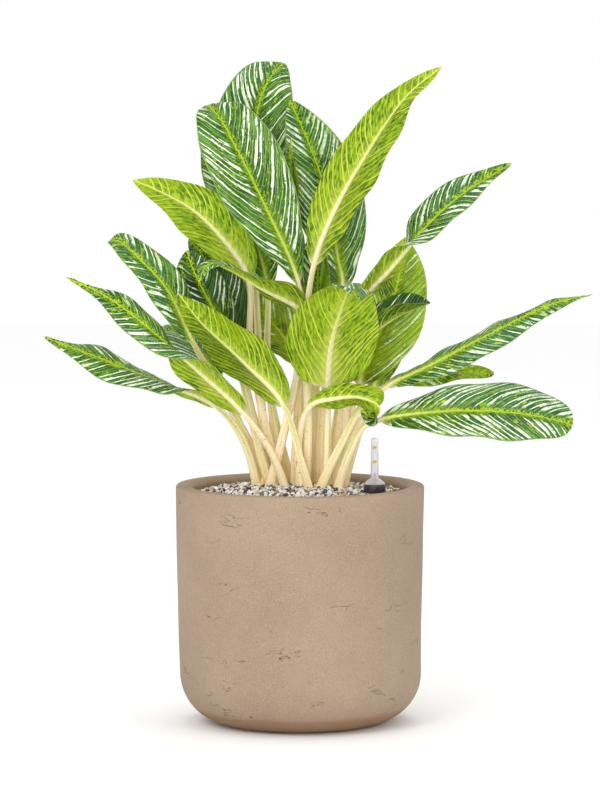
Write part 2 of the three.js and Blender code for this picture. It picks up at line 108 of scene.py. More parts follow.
# Leaves
FOOT_HEIGHT = 215 * MM
SOIL_LINE = 231 * MM
FOOT_RADIUS = 4 * MM
NECK_RADIUS = 2.3 * MM
RIB_AT_NECK = 2.5 * MM
RIB_AT_TIP = 0.5 * MM
SKIN = 0.35 * MM
STALK_ROWS = 26
BLADE_ROWS = 104
HALF_COLUMNS = 15
ARCH = 0.10
MARGIN_WAVE = 2.2 * MM
MARGIN_WAVE_LENGTH = 62 * MM
QUILT = 0.3 * MM
VEIN_SPACING = 9 * MM
VEIN_LEAN = 0.8
VEIN_BEND = 24.0
MOST_GROWN_SHARE = 0.9995
NECK_SHARE = 0.12
GROOVE_DEPTH = 0.7 * MM
GROOVE_WIDTH = 1.5 * MM
SEED_STEP = 0.6180339

# Studio: lamps as name, place, width and power
CAMERA_BACK = 4.2
CAMERA_HEIGHT = 0.683
CAMERA_AIM_HEIGHT = 0.325
LENS = 189
LAMP_AIM = (0, 0, 0.35)
LAMPS = [
    ("key", (-1.3, -2.4, 2.2), 1.2, 24),
    ("fill", (2.2, -1.6, 1.0), 1.4, 8),
    ("front", (-0.4, -3.2, 0.5), 1.2, 26),
    ("top", (0.2, 0.8, 2.6), 1.6, 8),
]
FLOOR_REACH = 6.0
RANDOM_SEED = 7


class Leaf(NamedTuple):
    """One leaf, in millimetres as in the part: stalk points from the foot up, blade points from neck to tip,
    the blade's full width, how steeply its halves fold up at neck and tip (degrees), where it is widest, the
    way its upper side looks at even steps from neck to tip, and how round its base is."""

    name: str
    finish: str
    stalk: list
    blade: list
    width: float
    fold: tuple
    widest: float
    face: list
    rounded: float = 0.75


LEAVES = [
    Leaf("leaf_crown_back", "striped",
         stalk=[(-31, 50), (-38, 50, 300), (-43, 49, 400)],
         blade=[(-47, 50, 488), (-50, 54, 550), (-45, 60, 605), (-33, 68, 643), (-17, 84, 662)],
         width=84, fold=(20, 10), widest=0.52,
         face=[(0, -0.9, 0.3), (0, -0.8, 0.6)]),
    Leaf("leaf_front_tall", "striped",
         stalk=[(-5, 17), (-2, 14, 320), (0, 8, 400)],
         blade=[(-2, 4, 443), (-36, 0, 522), (-66, 2, 582), (-81, 10, 608), (-93, 28, 620)],
         width=78, fold=(20, 10), widest=0.6, rounded=0.95,
         face=[(0.1, -1, 0.3), (-0.1, -0.9, 0.4), (-0.1, -0.6, 0.8)]),
    Leaf("leaf_left_behind", "striped",
         stalk=[(-18, 44), (-27, 42, 300), (-33, 36, 370)],
         blade=[(-33, 26, 436), (-45, 24, 483), (-72, 26, 538), (-98, 32, 593)],
         width=54, fold=(20, 20), widest=0.5,
         face=[(0.1, -0.9, 0.4)]),
    Leaf("leaf_left_raised", "striped",
         stalk=[(-18, 32), (-36, 30, 300), (-50, 22, 380)],
         blade=[(-52, 10, 446), (-70, 4, 477), (-106, -6, 515), (-145, -12, 537), (-167, -14, 546)],
         width=60, fold=(12, 6), widest=0.42,
         face=[(0.2, 0.9, 0.4)]),
    Leaf("leaf_right_back", "striped",
         stalk=[(20, 22), (22, 24, 300), (32, 26, 380)],
         blade=[(43, 28, 436), (38, 32, 468), (31, 35, 513), (17, 38, 560), (-10, 48, 625)],
         width=72, fold=(20, 12), widest=0.48,
         face=[(0.1, -0.9, 0.4)]),
    Leaf("leaf_right_tall", "striped",
         stalk=[(6, 6), (8, 4, 300), (6, 2, 400)],
         blade=[(14, 0, 461), (34, -8, 514), (60, -18, 562), (105, -28, 629), (141, -24, 659)],
         width=56, fold=(12, 14), widest=0.42,
         face=[(-0.25, 0.85, 0.4), (-0.3, 0.8, 0.5)]),
    Leaf("leaf_new_spear", "young",
         stalk=[(4, 28), (3, 24, 300), (4, 20, 380)],
         blade=[(3, 16, 425), (-2, 15, 488), (-9, 17, 588)],
         width=22, fold=(68, 68), widest=0.4,
         face=[(0, -1, 0.1)]),
    Leaf("leaf_right_long", "striped",
         stalk=[(32, 20), (40, 16, 300), (50, 10, 370)],
         blade=[(66, 0, 428), (88, -10, 454), (131, -18, 505), (161, -22, 532), (210, -22, 563)],
         width=46, fold=(12, 12), widest=0.45,
         face=[(-0.4, 0.8, 0.4), (-0.5, 0.5, 0.6), (-0.35, -0.75, 0.5), (-0.3, -0.8, 0.5),
               (-0.3, -0.8, 0.5)]),
    Leaf("leaf_right_broad", "speckled",
         stalk=[(42, 15), (47, 17, 280)],
         blade=[(59, 16, 340), (75, 18, 377), (91, 22, 416), (101, 28, 452), (107, 40, 487)],
         width=76, fold=(16, 10), widest=0.45,
         face=[(0, -0.9, 0.4)]),
    # The darker finish paints shade on this leaf, whose near half shows its underside in shadow.
    Leaf("leaf_right_curl", "dark",
         stalk=[(44, 4), (46, 8, 290), (46, 2, 345)],
         blade=[(49, -7, 379), (75, -16, 395), (101, -23, 412), (130, -29, 424)],
         width=54, fold=(40, 44), widest=0.5,
         face=[(-0.25, -0.25, 0.9)]),
    Leaf("leaf_front_round", "striped",
         stalk=[(27, 2), (28, 0, 300)],
         blade=[(28, -12, 339), (30, -34, 376), (37, -54, 408), (49, -80, 440), (57, -101, 433)],
         width=90, fold=(4, 4), widest=0.38, rounded=0.5,
         face=[(0, 0.75, 0.65), (0, 0.8, 0.6), (0, 0.3, 1)]),
    Leaf("leaf_left_hook", "striped",
         stalk=[(-31, 10), (-22, 8, 268), (-5, 2, 340), (1, -2, 378)],
         blade=[(4, -8, 410), (-37, -22, 437), (-81, -30, 462), (-94, -34, 460), (-100, -40, 446)],
         width=54, fold=(20, 6), widest=0.4,
         face=[(0.2, 0.7, 0.7), (0, 0.1, 1), (-0.4, -0.5, 0.6)]),
    Leaf("leaf_left_middle", "dark",
         stalk=[(-30, 24), (-41, 24, 272), (-55, 24, 330)],
         blade=[(-70, 20, 386), (-92, 14, 424), (-107, 10, 455), (-114, 20, 474)],
         width=48, fold=(14, 8), widest=0.5,
         face=[(0, -0.85, 0.5), (-0.2, -0.7, 0.7)]),
    Leaf("leaf_left_inner", "dark",
         stalk=[(-28, 38), (-46, 38, 300), (-56, 38, 345)],
         blade=[(-62, 36, 378), (-80, 34, 425), (-98, 30, 468), (-112, 28, 486)],
         width=54, fold=(14, 10), widest=0.45,
         face=[(0.2, -0.9, 0.3)]),
    Leaf("leaf_left_low", "striped",
         stalk=[(10, -14), (1, -15, 264)],
         blade=[(-16, -14, 320), (-56, -24, 364), (-101, -34, 408), (-122, -34, 436)],
         width=68, fold=(12, 8), widest=0.42,
         face=[(0.3, 0.7, 0.6)]),
    Leaf("leaf_left_far", "striped",
         stalk=[(-38, 34), (-52, 31, 280), (-77, 20, 326)],
         blade=[(-108, 4, 384), (-133, -6, 436), (-158, -10, 465), (-182, -8, 485), (-192, 2, 484)],
         width=40, fold=(10, 6), widest=0.5,
         face=[(0, -0.85, 0.5), (-0.2, -0.6, 0.8)]),
    Leaf("leaf_left_long", "striped",
         stalk=[(-14, 4), (-29, -3, 272)],
         blade=[(-56, -14, 312), (-99, -32, 354), (-139, -46, 391), (-189, -56, 431), (-231, -60, 452)],
         width=54, fold=(0, -18), widest=0.36,
         face=[(0.3, 0.7, 0.6), (0.3, 0.6, 0.7), (-0.3, -0.4, 0.9), (-0.3, -0.7, 0.7), (-0.3, -0.7, 0.7)]),
    Leaf("leaf_left_lowest", "striped",
         stalk=[(-43, 22), (-58, 15, 284)],
         blade=[(-84, 11, 317), (-134, -1, 341), (-169, -16, 356), (-204, -25, 371), (-255, -34, 391)],
         width=54, fold=(0, -24), widest=0.4,
         face=[(0.1, 0.6, 0.8), (-0.2, -0.3, 0.9), (-0.3, -0.6, 0.7), (-0.3, -0.6, 0.7)]),
    Leaf("leaf_right_far", "striped",
         stalk=[(19, -8), (41, -11, 281), (64, -5, 322)],
         blade=[(89, -2, 340), (134, -12, 363), (181, -22, 389), (253, -34, 425), (291, -36, 434)],
         width=38, fold=(-20, -32), widest=0.4,
         face=[(0.2, -0.6, 0.8)]),
    Leaf("leaf_right_beneath", "speckled",
         stalk=[(33, 9), (46, -1, 284), (66, 4, 310)],
         blade=[(87, 14, 338), (116, 14, 346), (150, 11, 352), (195, 4, 351)],
         width=28, fold=(4, 4), widest=0.5,
         face=[(0.1, -0.7, 0.7)]),
    Leaf("leaf_right_low", "striped",
         stalk=[(37, -8), (50, -13, 274), (63, -10, 298)],
         blade=[(81, -10, 306), (147, -30, 316), (198, -44, 317), (242, -54, 312), (270, -58, 305)],
         width=66, fold=(6, 0), widest=0.62,
         face=[(0, -0.8, 0.6)]),
    Leaf("leaf_front_ring", "striped",
         stalk=[(2, -4), (-1, -3, 286)],
         blade=[(10, -16, 320), (34, -26, 328), (59, -33, 330), (79, -37, 321), (74, -33, 310),
                (60, -30, 317)],
         width=32, fold=(14, 10), widest=0.5,
         face=[(0, 0.8, 0.5), (0, 0.8, 0.5), (-0.7, 0.4, 0.3), (0, -0.9, 0.2)]),
    Leaf("leaf_back_small", "speckled",
         stalk=[(-6, 42), (-3, 48, 310)],
         blade=[(-4, 56, 358), (-14, 62, 380), (-43, 68, 415), (-66, 72, 440)],
         width=50, fold=(16, 14), widest=0.45,
         face=[(-0.1, -0.9, 0.4)]),
    Leaf("leaf_back_centre", "striped",
         stalk=[(16, 50), (14, 54, 320)],
         blade=[(17, 56, 395), (18, 62, 438), (21, 76, 500)],
         width=44, fold=(16, 14), widest=0.45,
         face=[(0, -0.9, 0.4)]),
    Leaf("leaf_small_spear", "young",
         stalk=[(14, 36), (16, 32, 320)],
         blade=[(21, 22, 410), (24, 18, 440), (28, 18, 473)],
         width=20, fold=(60, 60), widest=0.4,
         face=[(0, -1, 0.1)]),
    Leaf("leaf_rear_left", "striped",
         stalk=[(-10, 57), (-30, 74, 320)],
         blade=[(-42, 98, 378), (-54, 126, 420), (-64, 158, 436), (-78, 206, 426)],
         width=62, fold=(18, 14), widest=0.45,
         face=[(0.2, -0.7, 0.7)]),
    Leaf("leaf_rear_right", "striped",
         stalk=[(30, 42), (40, 66, 320)],
         blade=[(50, 92, 370), (62, 124, 408), (76, 156, 424), (93, 204, 420)],
         width=60, fold=(18, 14), widest=0.45,
         face=[(-0.2, -0.7, 0.7)]),
    Leaf("leaf_rear_middle", "dark",
         stalk=[(4, 54), (7, 84, 300)],
         blade=[(10, 116, 338), (14, 150, 366), (19, 188, 376), (22, 230, 356)],
         width=60, fold=(18, 14), widest=0.45,
         face=[(0, -0.6, 0.8), (0, -0.2, 1)]),
    Leaf("leaf_rear_far_left", "striped",
         stalk=[(-40, 46), (-62, 64, 298)],
         blade=[(-84, 82, 340), (-104, 98, 366), (-128, 118, 384), (-160, 142, 384)],
         width=52, fold=(14, 10), widest=0.45,
         face=[(0.2, -0.5, 0.8)]),
    Leaf("leaf_rear_far_right", "speckled",
         stalk=[(44, 34), (62, 60, 292)],
         blade=[(76, 88, 330), (86, 112, 358), (98, 142, 380), (110, 180, 380)],
         width=54, fold=(14, 10), widest=0.45,
         face=[(-0.2, -0.5, 0.8)]),
]

rng = np.random.default_rng(RANDOM_SEED)


# ---------------------------------------------------------------- meshes


def signed_volume(points, triangles):
    a, b, c = (points[triangles[:, k]] for k in range(3))
    return np.einsum("ij,ij->i", a, np.cross(b, c)).sum() / 6


def make_piece(name, points, quads, triangles, finish, body, slot, nodes, values=None, face_values=None):
    """A closed mesh from arrays, facing out by the sign of its volume, in its finish and body. The slot is
    not used.
    """
    quads = np.asarray(quads, int).reshape(-1, 4)
    triangles = np.asarray(triangles, int).reshape(-1, 3)
    halves = np.vstack([triangles, quads[:, [0, 1, 2]], quads[:, [0, 2, 3]]])
    if signed_volume(points, halves) < 0:
        quads, triangles = quads[:, ::-1], triangles[:, ::-1]
    mesh = bpy.data.meshes.new(name)
    corners = np.concatenate([quads.ravel(), triangles.ravel()])
    starts = np.concatenate([np.arange(len(quads)) * 4, len(quads) * 4 + np.arange(len(triangles)) * 3])
    mesh.vertices.add(len(points))
    mesh.vertices.foreach_set("co", points.ravel())
    mesh.loops.add(len(corners))
    mesh.loops.foreach_set("vertex_index", corners)
    mesh.polygons.add(len(starts))
    mesh.polygons.foreach_set("loop_start", starts)
    mesh.update(calc_edges=True)
    mesh.polygons.foreach_set("use_smooth", np.ones(len(starts), bool))
    for key, data in (values or {}).items():
        kind, field = ("FLOAT", "value") if data.ndim == 1 else ("FLOAT_VECTOR", "vector")
        mesh.attributes.new(key, kind, "POINT").data.foreach_set(field, data.ravel())
    for key, data in (face_values or {}).items():
        mesh.attributes.new(key, "FLOAT", "FACE").data.foreach_set("value", data)
    mesh.materials.append(finish)
    piece = bpy.data.objects.new(name, mesh)
    bpy.context.collection.objects.link(piece)
    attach(piece, body)
    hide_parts(*nodes)
    return piece


def ring_grid(rows, columns):
    """Squares of a tube of rows x columns points, closed round the columns."""
    row, column = np.meshgrid(np.arange(rows - 1), np.arange(columns), indexing="ij")
    a = row * columns + column
    b = row * columns + (column + 1) % columns
    return np.stack([a, b, b + columns, a + columns], -1).reshape(-1, 4)


def fan(first, columns, hub):
    """Triangles that close one ring of a tube with a hub point."""
    ring = first + np.arange(columns)
    return np.stack([ring, np.full(columns, hub), first + (np.arange(columns) + 1) % columns], -1)


def arc(radius, height, round_, start, stop, steps):
    """Points on a circle of radius round_ about (radius, height), from one angle to another in degrees."""
    angle = np.radians(np.linspace(start, stop, steps + 1))
    return np.stack([radius + round_ * np.cos(angle), height + round_ * np.sin(angle)], -1)


def turned(profile, around, centre=(0.0, 0.0), uneven=None):
    """A closed round surface: each [radius, height] of the profile is carried round the axis. Both ends of
    the profile lie on the axis, where a fan closes them. uneven(angle, height) is added to the radius."""
    profile = np.asarray(profile, float)
    inner = profile[1:-1]
    angle = np.linspace(0, 2 * np.pi, around, endpoint=False)
    height, theta = np.meshgrid(inner[:, 1], angle, indexing="ij")
    radius = np.repeat(inner[:, :1], around, 1)
    if uneven:
        radius = radius + uneven(theta, height)
    points = np.stack([centre[0] + radius * np.cos(theta), centre[1] + radius * np.sin(theta), height], -1)
    ends = [(centre[0], centre[1], profile[0, 1]), (centre[0], centre[1], profile[-1, 1])]
    count = len(inner) * around
    quads = ring_grid(len(inner), around)
    low = fan(0, around, count)
    high = fan(count - around, around, count + 1)[:, ::-1]
    return np.vstack([points.reshape(-1, 3), ends]), quads, np.vstack([low, high])


def closed_lathe(profile, around, centre):
    """A ring-shaped surface: a closed outline off the axis, or just touching it, carried round the axis."""
    profile = np.asarray(profile, float)
    profile[:, 0] = np.maximum(profile[:, 0], 1e-5)
    angle = np.linspace(0, 2 * np.pi, around, endpoint=False)
    radius, theta = np.meshgrid(profile[:, 0], angle, indexing="ij")
    height = np.repeat(profile[:, 1:], around, 1)
    points = np.stack([centre[0] + radius * np.cos(theta), centre[1] + radius * np.sin(theta), height], -1)
    rows = len(profile)
    quads = ring_grid(rows + 1, around) % (rows * around)
    return points.reshape(-1, 3), quads


# ---------------------------------------------------------------- leaves


def midrib_line(points, u):
    """Centripetal Catmull-Rom curve through the points, with u from 0 to 1 evenly shared among the spans: in
    each span a cubic whose end slopes weigh the chords by the square roots of their lengths. The points
    beyond both ends are mirror images."""
    wide = np.vstack([2 * points[0] - points[1], points, 2 * points[-1] - points[-2]])
    spot = np.clip(u, 0, 1) * (len(points) - 1)
    i = np.minimum(spot.astype(int), len(points) - 2)
    w = (spot - i)[:, None]
    a, b, c, d = (wide[i + k] for k in range(4))
    chords = ((a, b), (b, c), (c, d))
    ab, bc, cd = (np.sqrt(np.linalg.norm(q - p, axis=1, keepdims=True)) for p, q in chords)
    leave = ((b - a) / ab - (c - a) / (ab + bc) + (c - b) / bc) * bc
    meet = ((c - b) / bc - (d - b) / (bc + cd) + (d - c) / cd) * bc
    square, cube = -3 * b + 3 * c - 2 * leave - meet, 2 * b - 2 * c + leave + meet
    return b + leave * w + square * w**2 + cube * w**3


def even_steps(points, start, stop, shares):
    """The curve parameters at given shares of the arc length between start and stop, and that length."""
    u = np.linspace(start, stop, 600)
    chords = np.linalg.norm(np.diff(midrib_line(points, u), axis=0), axis=1)
    reach = np.concatenate([[0], np.cumsum(chords)])
    return np.interp(shares * reach[-1], reach, u), reach[-1]


def unit(v):
    return v / np.linalg.norm(v, axis=-1, keepdims=True)


def looks_of(face, share):
    """The way the upper side looks along the blade: even steps joined by straight lines, then averaged over
    a short stretch."""
    face = np.asarray(face, float)
    steps = np.linspace(0, 1, len(face)) if len(face) > 1 else np.array([0.0])
    spread = np.linspace(-0.07, 0.07, 7)
    samples = np.clip(share[:, None] + spread, 0, 1)
    return np.stack([np.interp(samples, steps, face[:, k]).mean(1) for k in range(3)], -1)


def blade_shape(share, widest, rounded):
    """Half width along the blade, 1 at its widest: (s/w)^r ((1-s)/(1-w))^(r/w-r) between neck and tip."""
    s = np.clip(share, 0, 1)
    return (s / widest) ** rounded * ((1 - s) / (1 - widest)) ** (rounded * (1 / widest - 1))


def leaf_surface(leaf, seed):
    """A leaf as one closed shell. Rows run from the stalk's foot over the neck to the tip; columns run from
    the right margin over the upper side and back along the underside. Each section joins a flat plate, as
    wide as the blade, with a rounded rib, as thick as the stalk, that sinks to a groove above and a keel
    below."""
    foot = [(*leaf.stalk[0], FOOT_HEIGHT / MM), (*leaf.stalk[0], SOIL_LINE / MM)]
    points = np.array(foot + leaf.stalk[1:] + leaf.blade, float) * MM
    neck = (len(points) - len(leaf.blade)) / (len(points) - 1)
    stalk_share = np.linspace(-1, 0, STALK_ROWS, endpoint=False)
    t = np.linspace(0, 1, BLADE_ROWS)
    blade_share = 0.55 * t + 0.45 * (1 - np.cos(np.pi * t)) / 2
    blade_share[-1] = MOST_GROWN_SHARE
    share = np.concatenate([stalk_share, blade_share])
    u_stalk, stalk_length = even_steps(points, 0, neck, stalk_share + 1)
    u_blade, blade_length = even_steps(points, neck, 1, blade_share)
    u = np.concatenate([u_stalk, u_blade])
    place = midrib_line(points, u)
    step = 1e-3
    ahead = midrib_line(points, np.minimum(u + step, 1))
    behind = midrib_line(points, np.maximum(u - step, 0))
    along_way = unit(ahead - behind)
    looks = looks_of(leaf.face, share)
    up = unit(looks - (looks * along_way).sum(1, keepdims=True) * along_way)
    right = np.cross(along_way, up)
    along = np.where(share < 0, share * stalk_length, share * blade_length)

    s = np.clip(share, 0, 1)
    grown = np.clip(share / NECK_SHARE, 0, 1)
    grown = grown * grown * (3 - 2 * grown)
    stalk_radius = FOOT_RADIUS + (NECK_RADIUS - FOOT_RADIUS) * np.minimum(1, share + 1) ** 0.7
    taper = np.minimum(1, (1 - s) / 0.03) ** 0.5
    rib = (RIB_AT_NECK + (RIB_AT_TIP - RIB_AT_NECK) * s) * taper
    round_above = stalk_radius * (1 - grown)
    round_below = stalk_radius * (1 - grown) + rib * grown
    broad = 1.2 + 0.3 * np.clip(-share, 0, 1)
    wing = leaf.width / 2 * MM * blade_shape(share, leaf.widest, leaf.rounded)
    half = round_below * (1 - grown) * broad + 0.4 * rib * grown + wing

    # columns, from the midrib out: even angles on the round stalk, crowded to rib and margin on the blade
    step_out = np.linspace(0, 1, HALF_COLUMNS)
    flat_out = np.append(0.985 * (np.linspace(0, 1, HALF_COLUMNS - 1)) ** 1.25, 1)
    round_out = np.sin(step_out * np.pi / 2)
    spread = (wing / (wing + round_below))[:, None]
    out = round_out * (1 - spread) + flat_out * spread
    reach = half[:, None] * out
    across_stalk = np.clip(reach / (round_below * broad)[:, None], 0, 1)
    hump = np.sqrt(1 - across_stalk**2)
    skin = SKIN * taper[:, None] * np.sqrt(1 - out**8)
    channel = 1 - 0.3 * np.exp(-((across_stalk / 0.3) ** 2)) * np.clip(-share * 4, 0, 1)[:, None]
    groove = GROOVE_DEPTH * (grown * taper)[:, None] * np.exp(-((reach / GROOVE_WIDTH) ** 2))
    above = np.sqrt(skin**2 + (round_above[:, None] * hump * channel) ** 2) - groove
    below = -np.sqrt(skin**2 + (round_below[:, None] * hump) ** 2)
    above[:, -1] = below[:, -1] = 0

    slope_now = np.radians(leaf.fold[0] + (leaf.fold[1] - leaf.fold[0]) * s) * grown
    bulge = ARCH * 4 * out * (1 - out) * (wing * grown)[:, None]

    def half_sheet(side, lift):
        """One half of one face: its points, raised by the bulge, the margin's wave and the quilting of
        veins."""
        lean = VEIN_LEAN * reach + VEIN_BEND * reach**2
        turn = (along[:, None] - lean) / VEIN_SPACING + 0.45 * (side > 0)
        quilt = QUILT * np.cos(2 * np.pi * turn) * np.sin(np.pi * np.clip(out, 0, 1)) * grown[:, None]
        swing = along[:, None] / MARGIN_WAVE_LENGTH + seed * 3.7 + side * 0.2
        wave = MARGIN_WAVE * out**3 * np.sin(2 * np.pi * swing) * (grown * taper)[:, None]
        rise = lift + bulge + quilt + wave
        slope = slope_now[:, None]
        across = side * (reach * np.cos(slope) - rise * np.sin(slope))
        raised = reach * np.sin(slope) + rise * np.cos(slope)
        spots = place[:, None] + right[:, None] * across[..., None] + up[:, None] * raised[..., None]
        return spots, side * reach, side * out

    sheets = [half_sheet(1, above), half_sheet(-1, above), half_sheet(-1, below), half_sheet(1, below)]
    last = HALF_COLUMNS - 1
    picks = [np.arange(last, -1, -1), np.arange(1, last + 1),
             np.arange(last - 1, -1, -1), np.arange(1, last)]
    ring = [np.concatenate([sheet[k][:, pick] for sheet, pick in zip(sheets, picks)], 1) for k in range(3)]
    rows, columns = ring[1].shape
    spin = np.linspace(0, 1, columns, endpoint=False)
    spots = np.vstack([ring[0].reshape(-1, 3), place[:1], midrib_line(points, np.array([1.0]))])
    full = lambda column: np.repeat(column[:, None], columns, 1)
    lie = np.stack([ring[2], full(share), np.tile(spin, (rows, 1))], -1).reshape(-1, 3)
    run = np.stack([full(along), ring[1], np.full((rows, columns), seed)], -1).reshape(-1, 3)
    lie = np.vstack([lie, [(0, -1, 0), (0, 1, 0)]])
    run = np.vstack([run, [(-stalk_length, 0, seed), (blade_length, 0, seed)]])
    quads = ring_grid(rows, columns)
    count = rows * columns
    caps = np.vstack([fan(0, columns, count), fan(count - columns, columns, count + 1)[:, ::-1]])
    upper = 2 * last
    quad_under = (np.tile(np.arange(columns), rows - 1) >= upper).astype(float)
    cap_under = np.tile((np.arange(columns) >= upper).astype(float), 2)
    values = {"leaf_lie": lie, "leaf_run": run}
    return spots, quads, caps, values, {"leaf_under": np.append(quad_under, cap_under)}


def make_leaves(finishes):
    for order, leaf in enumerate(LEAVES):
        seed = (order * SEED_STEP) % 1
        spots, quads, caps, values, face_values = leaf_surface(leaf, seed)
        name = leaf.name.removeprefix("leaf_") + "_leaf"
        make_piece(name, spots, quads, caps, finishes[leaf.finish], "planter", "leaf", [leaf.name],
                   values, face_values)


def make_young_shoot(finish):
    """A pointed bud: radius falls from the foot as the square root of what is left of its height, with the
    overlapping edge of its scale as a low ridge that winds once round."""
    radius = (SHOOT_HIGH.x - SHOOT_LOW.x) / 2
    centre = ((SHOOT_LOW.x + SHOOT_HIGH.x) / 2, (SHOOT_LOW.y + SHOOT_HIGH.y) / 2)
    rise = np.linspace(0, 1, 26)
    height = SHOOT_LOW.z + rise * (SHOOT_HIGH.z - SHOOT_LOW.z)
    profile = np.stack([radius * np.clip(1 - rise**2.4, 0, 1) ** 0.5, height], -1)
    profile = np.vstack([[0, SHOOT_LOW.z], profile])
    ridge = lambda angle, height: 0.25 * MM * np.exp(-((np.cos(angle - height * 90) - 1) / 0.08) ** 2)
    spots, quads, caps = turned(profile, 40, centre, ridge)
    make_piece("young_shoot", spots, quads, caps, finish, "planter", "leaf", ["new_shoot"])


# ---------------------------------------------------------------- pot and granulate


def make_pot(finish):
    """The pot's outline carried round its axis: flat foot, large foot round, a wall that widens a little,
    two small rounds at the rim, and a straight inner wall with a bent foot. Slow waves of a third of a
    millimetre keep it hand-made."""
    inner = POT_RADIUS - POT_WALL
    wall = lambda radius, low, high, steps: np.stack(
        [np.linspace(radius[0], radius[1], steps), np.linspace(low, high, steps)], -1)[1:-1]
    foot_x, rim_x = POT_LOW_RADIUS - POT_FOOT_ROUND, POT_RADIUS - RIM_OUTER_ROUND
    floor_edge = inner - FLOOR_EDGE_INSET
    profile = np.vstack([
        [[0, 0], [foot_x * 0.6, 0]],
        arc(foot_x, POT_FOOT_ROUND, POT_FOOT_ROUND, -90, 0, 22),
        wall((POT_LOW_RADIUS, POT_RADIUS), POT_FOOT_ROUND, POT_TOP - RIM_OUTER_ROUND, 26),
        arc(rim_x, POT_TOP - RIM_OUTER_ROUND, RIM_OUTER_ROUND, 0, 90, 6),
        arc(inner + RIM_INNER_ROUND, POT_TOP - RIM_INNER_ROUND, RIM_INNER_ROUND, 90, 180, 8),
        wall((inner, inner), POT_TOP - RIM_INNER_ROUND, POT_FOOT_ROUND, 14),
        [[inner, POT_FOOT_ROUND], [inner - FLOOR_BEND_INSET, POT_FLOOR + FLOOR_BEND_RISE]],
        [[floor_edge, POT_FLOOR], [0, POT_FLOOR]],
    ])

    def uneven(angle, height):
        slow = np.sin(3 * angle + 21 * height + 0.7) + 0.7 * np.sin(5 * angle - 34 * height + 2.1)
        return POT_UNEVEN * (slow + 0.5 * np.sin(11 * angle + 57 * height))

    spots, quads, caps = turned(profile, POT_AROUND, uneven=uneven)
    make_piece("planter_pot", spots, quads, caps, finish, "planter", "pot_concrete", ["pot"])


def mound_height(radius):
    return EDGE_HEIGHT + MOUND * (1 - (radius / GRANULATE_RADIUS) ** 2)


def make_granulate_floor(finish):
    """The dark fines under the loose grains: a disc 3 mm below the mound, with 1.2 mm ripples."""
    radius = np.linspace(0, GRANULATE_RADIUS, 40)
    ripple = FINES_RIPPLE * np.sin(radius * FINES_RIPPLE_TURN) * (radius > 0)
    top = np.stack([radius, mound_height(radius) - FINES_DEPTH + ripple], -1)
    profile = np.vstack([[[0, TOP_LAYER_LOW], [GRANULATE_RADIUS, TOP_LAYER_LOW]], top[::-1]])
    spots, quads, caps = turned(profile, 96)
    make_piece("granulate_fines", spots, quads, caps, finish, "planter", "granulate", ["granulate_top"])


def make_pebbles(finish):
    """Loose grains: unit icosahedra with every corner moved at random, squashed, turned by random rotations
    and laid over the mound with the density even over its area. Each grain stores one tone from 0 to 1."""
    golden = (1 + 5**0.5) / 2
    base = np.array([(-1, golden, 0), (1, golden, 0), (-1, -golden, 0), (1, -golden, 0), (0, -1, golden),
                     (0, 1, golden), (0, -1, -golden), (0, 1, -golden), (golden, 0, -1), (golden, 0, 1),
                     (-golden, 0, -1), (-golden, 0, 1)]) / np.hypot(1, golden)
    near = np.linalg.norm(base[:, None] - base[None], axis=2) < 1.1
    i, j, k = np.meshgrid(*[np.arange(12)] * 3, indexing="ij")
    keep = (i < j) & (j < k) & near[i, j] & near[j, k] & near[i, k]
    faces = np.stack([i[keep], j[keep], k[keep]], -1)
    inward = np.einsum("ij,ij->i", base[faces[:, 0]], np.cross(base[faces[:, 1]], base[faces[:, 2]])) < 0
    faces[inward] = faces[inward][:, ::-1]
    size = rng.uniform(*PEBBLE_RADII, PEBBLES)
    radius = np.sqrt(rng.uniform(0, 1, PEBBLES)) * (GRANULATE_RADIUS - size)
    angle = rng.uniform(0, 2 * np.pi, PEBBLES)
    stretch = rng.uniform(0.6, 1.25, (PEBBLES, 1, 3))
    jitter = rng.uniform(0.78, 1.22, (PEBBLES, 12, 1))
    turns = np.linalg.qr(rng.normal(size=(PEBBLES, 3, 3)))[0]
    turns *= np.sign(np.linalg.det(turns))[:, None, None]
    grains = np.einsum("nij,nkj->nki", turns, base * jitter * stretch) * size[:, None, None]
    height = mound_height(radius) - rng.uniform(0, PEBBLE_SINK_MM, PEBBLES) * MM
    grains += np.stack([radius * np.cos(angle), radius * np.sin(angle), height], -1)[:, None]
    tone = np.repeat(rng.uniform(0, 1, PEBBLES), 12)
    triangles = (faces[None] + 12 * np.arange(PEBBLES)[:, None, None]).reshape(-1, 3)
    piece = make_piece("granulate_grains", grains.reshape(-1, 3), [], triangles, finish, "planter",
                       "granulate", ["granulate_top"], {"grain_tone": tone})
    piece.data.polygons.foreach_set("use_smooth", np.zeros(len(triangles), bool))


# ---------------------------------------------------------------- water level indicator


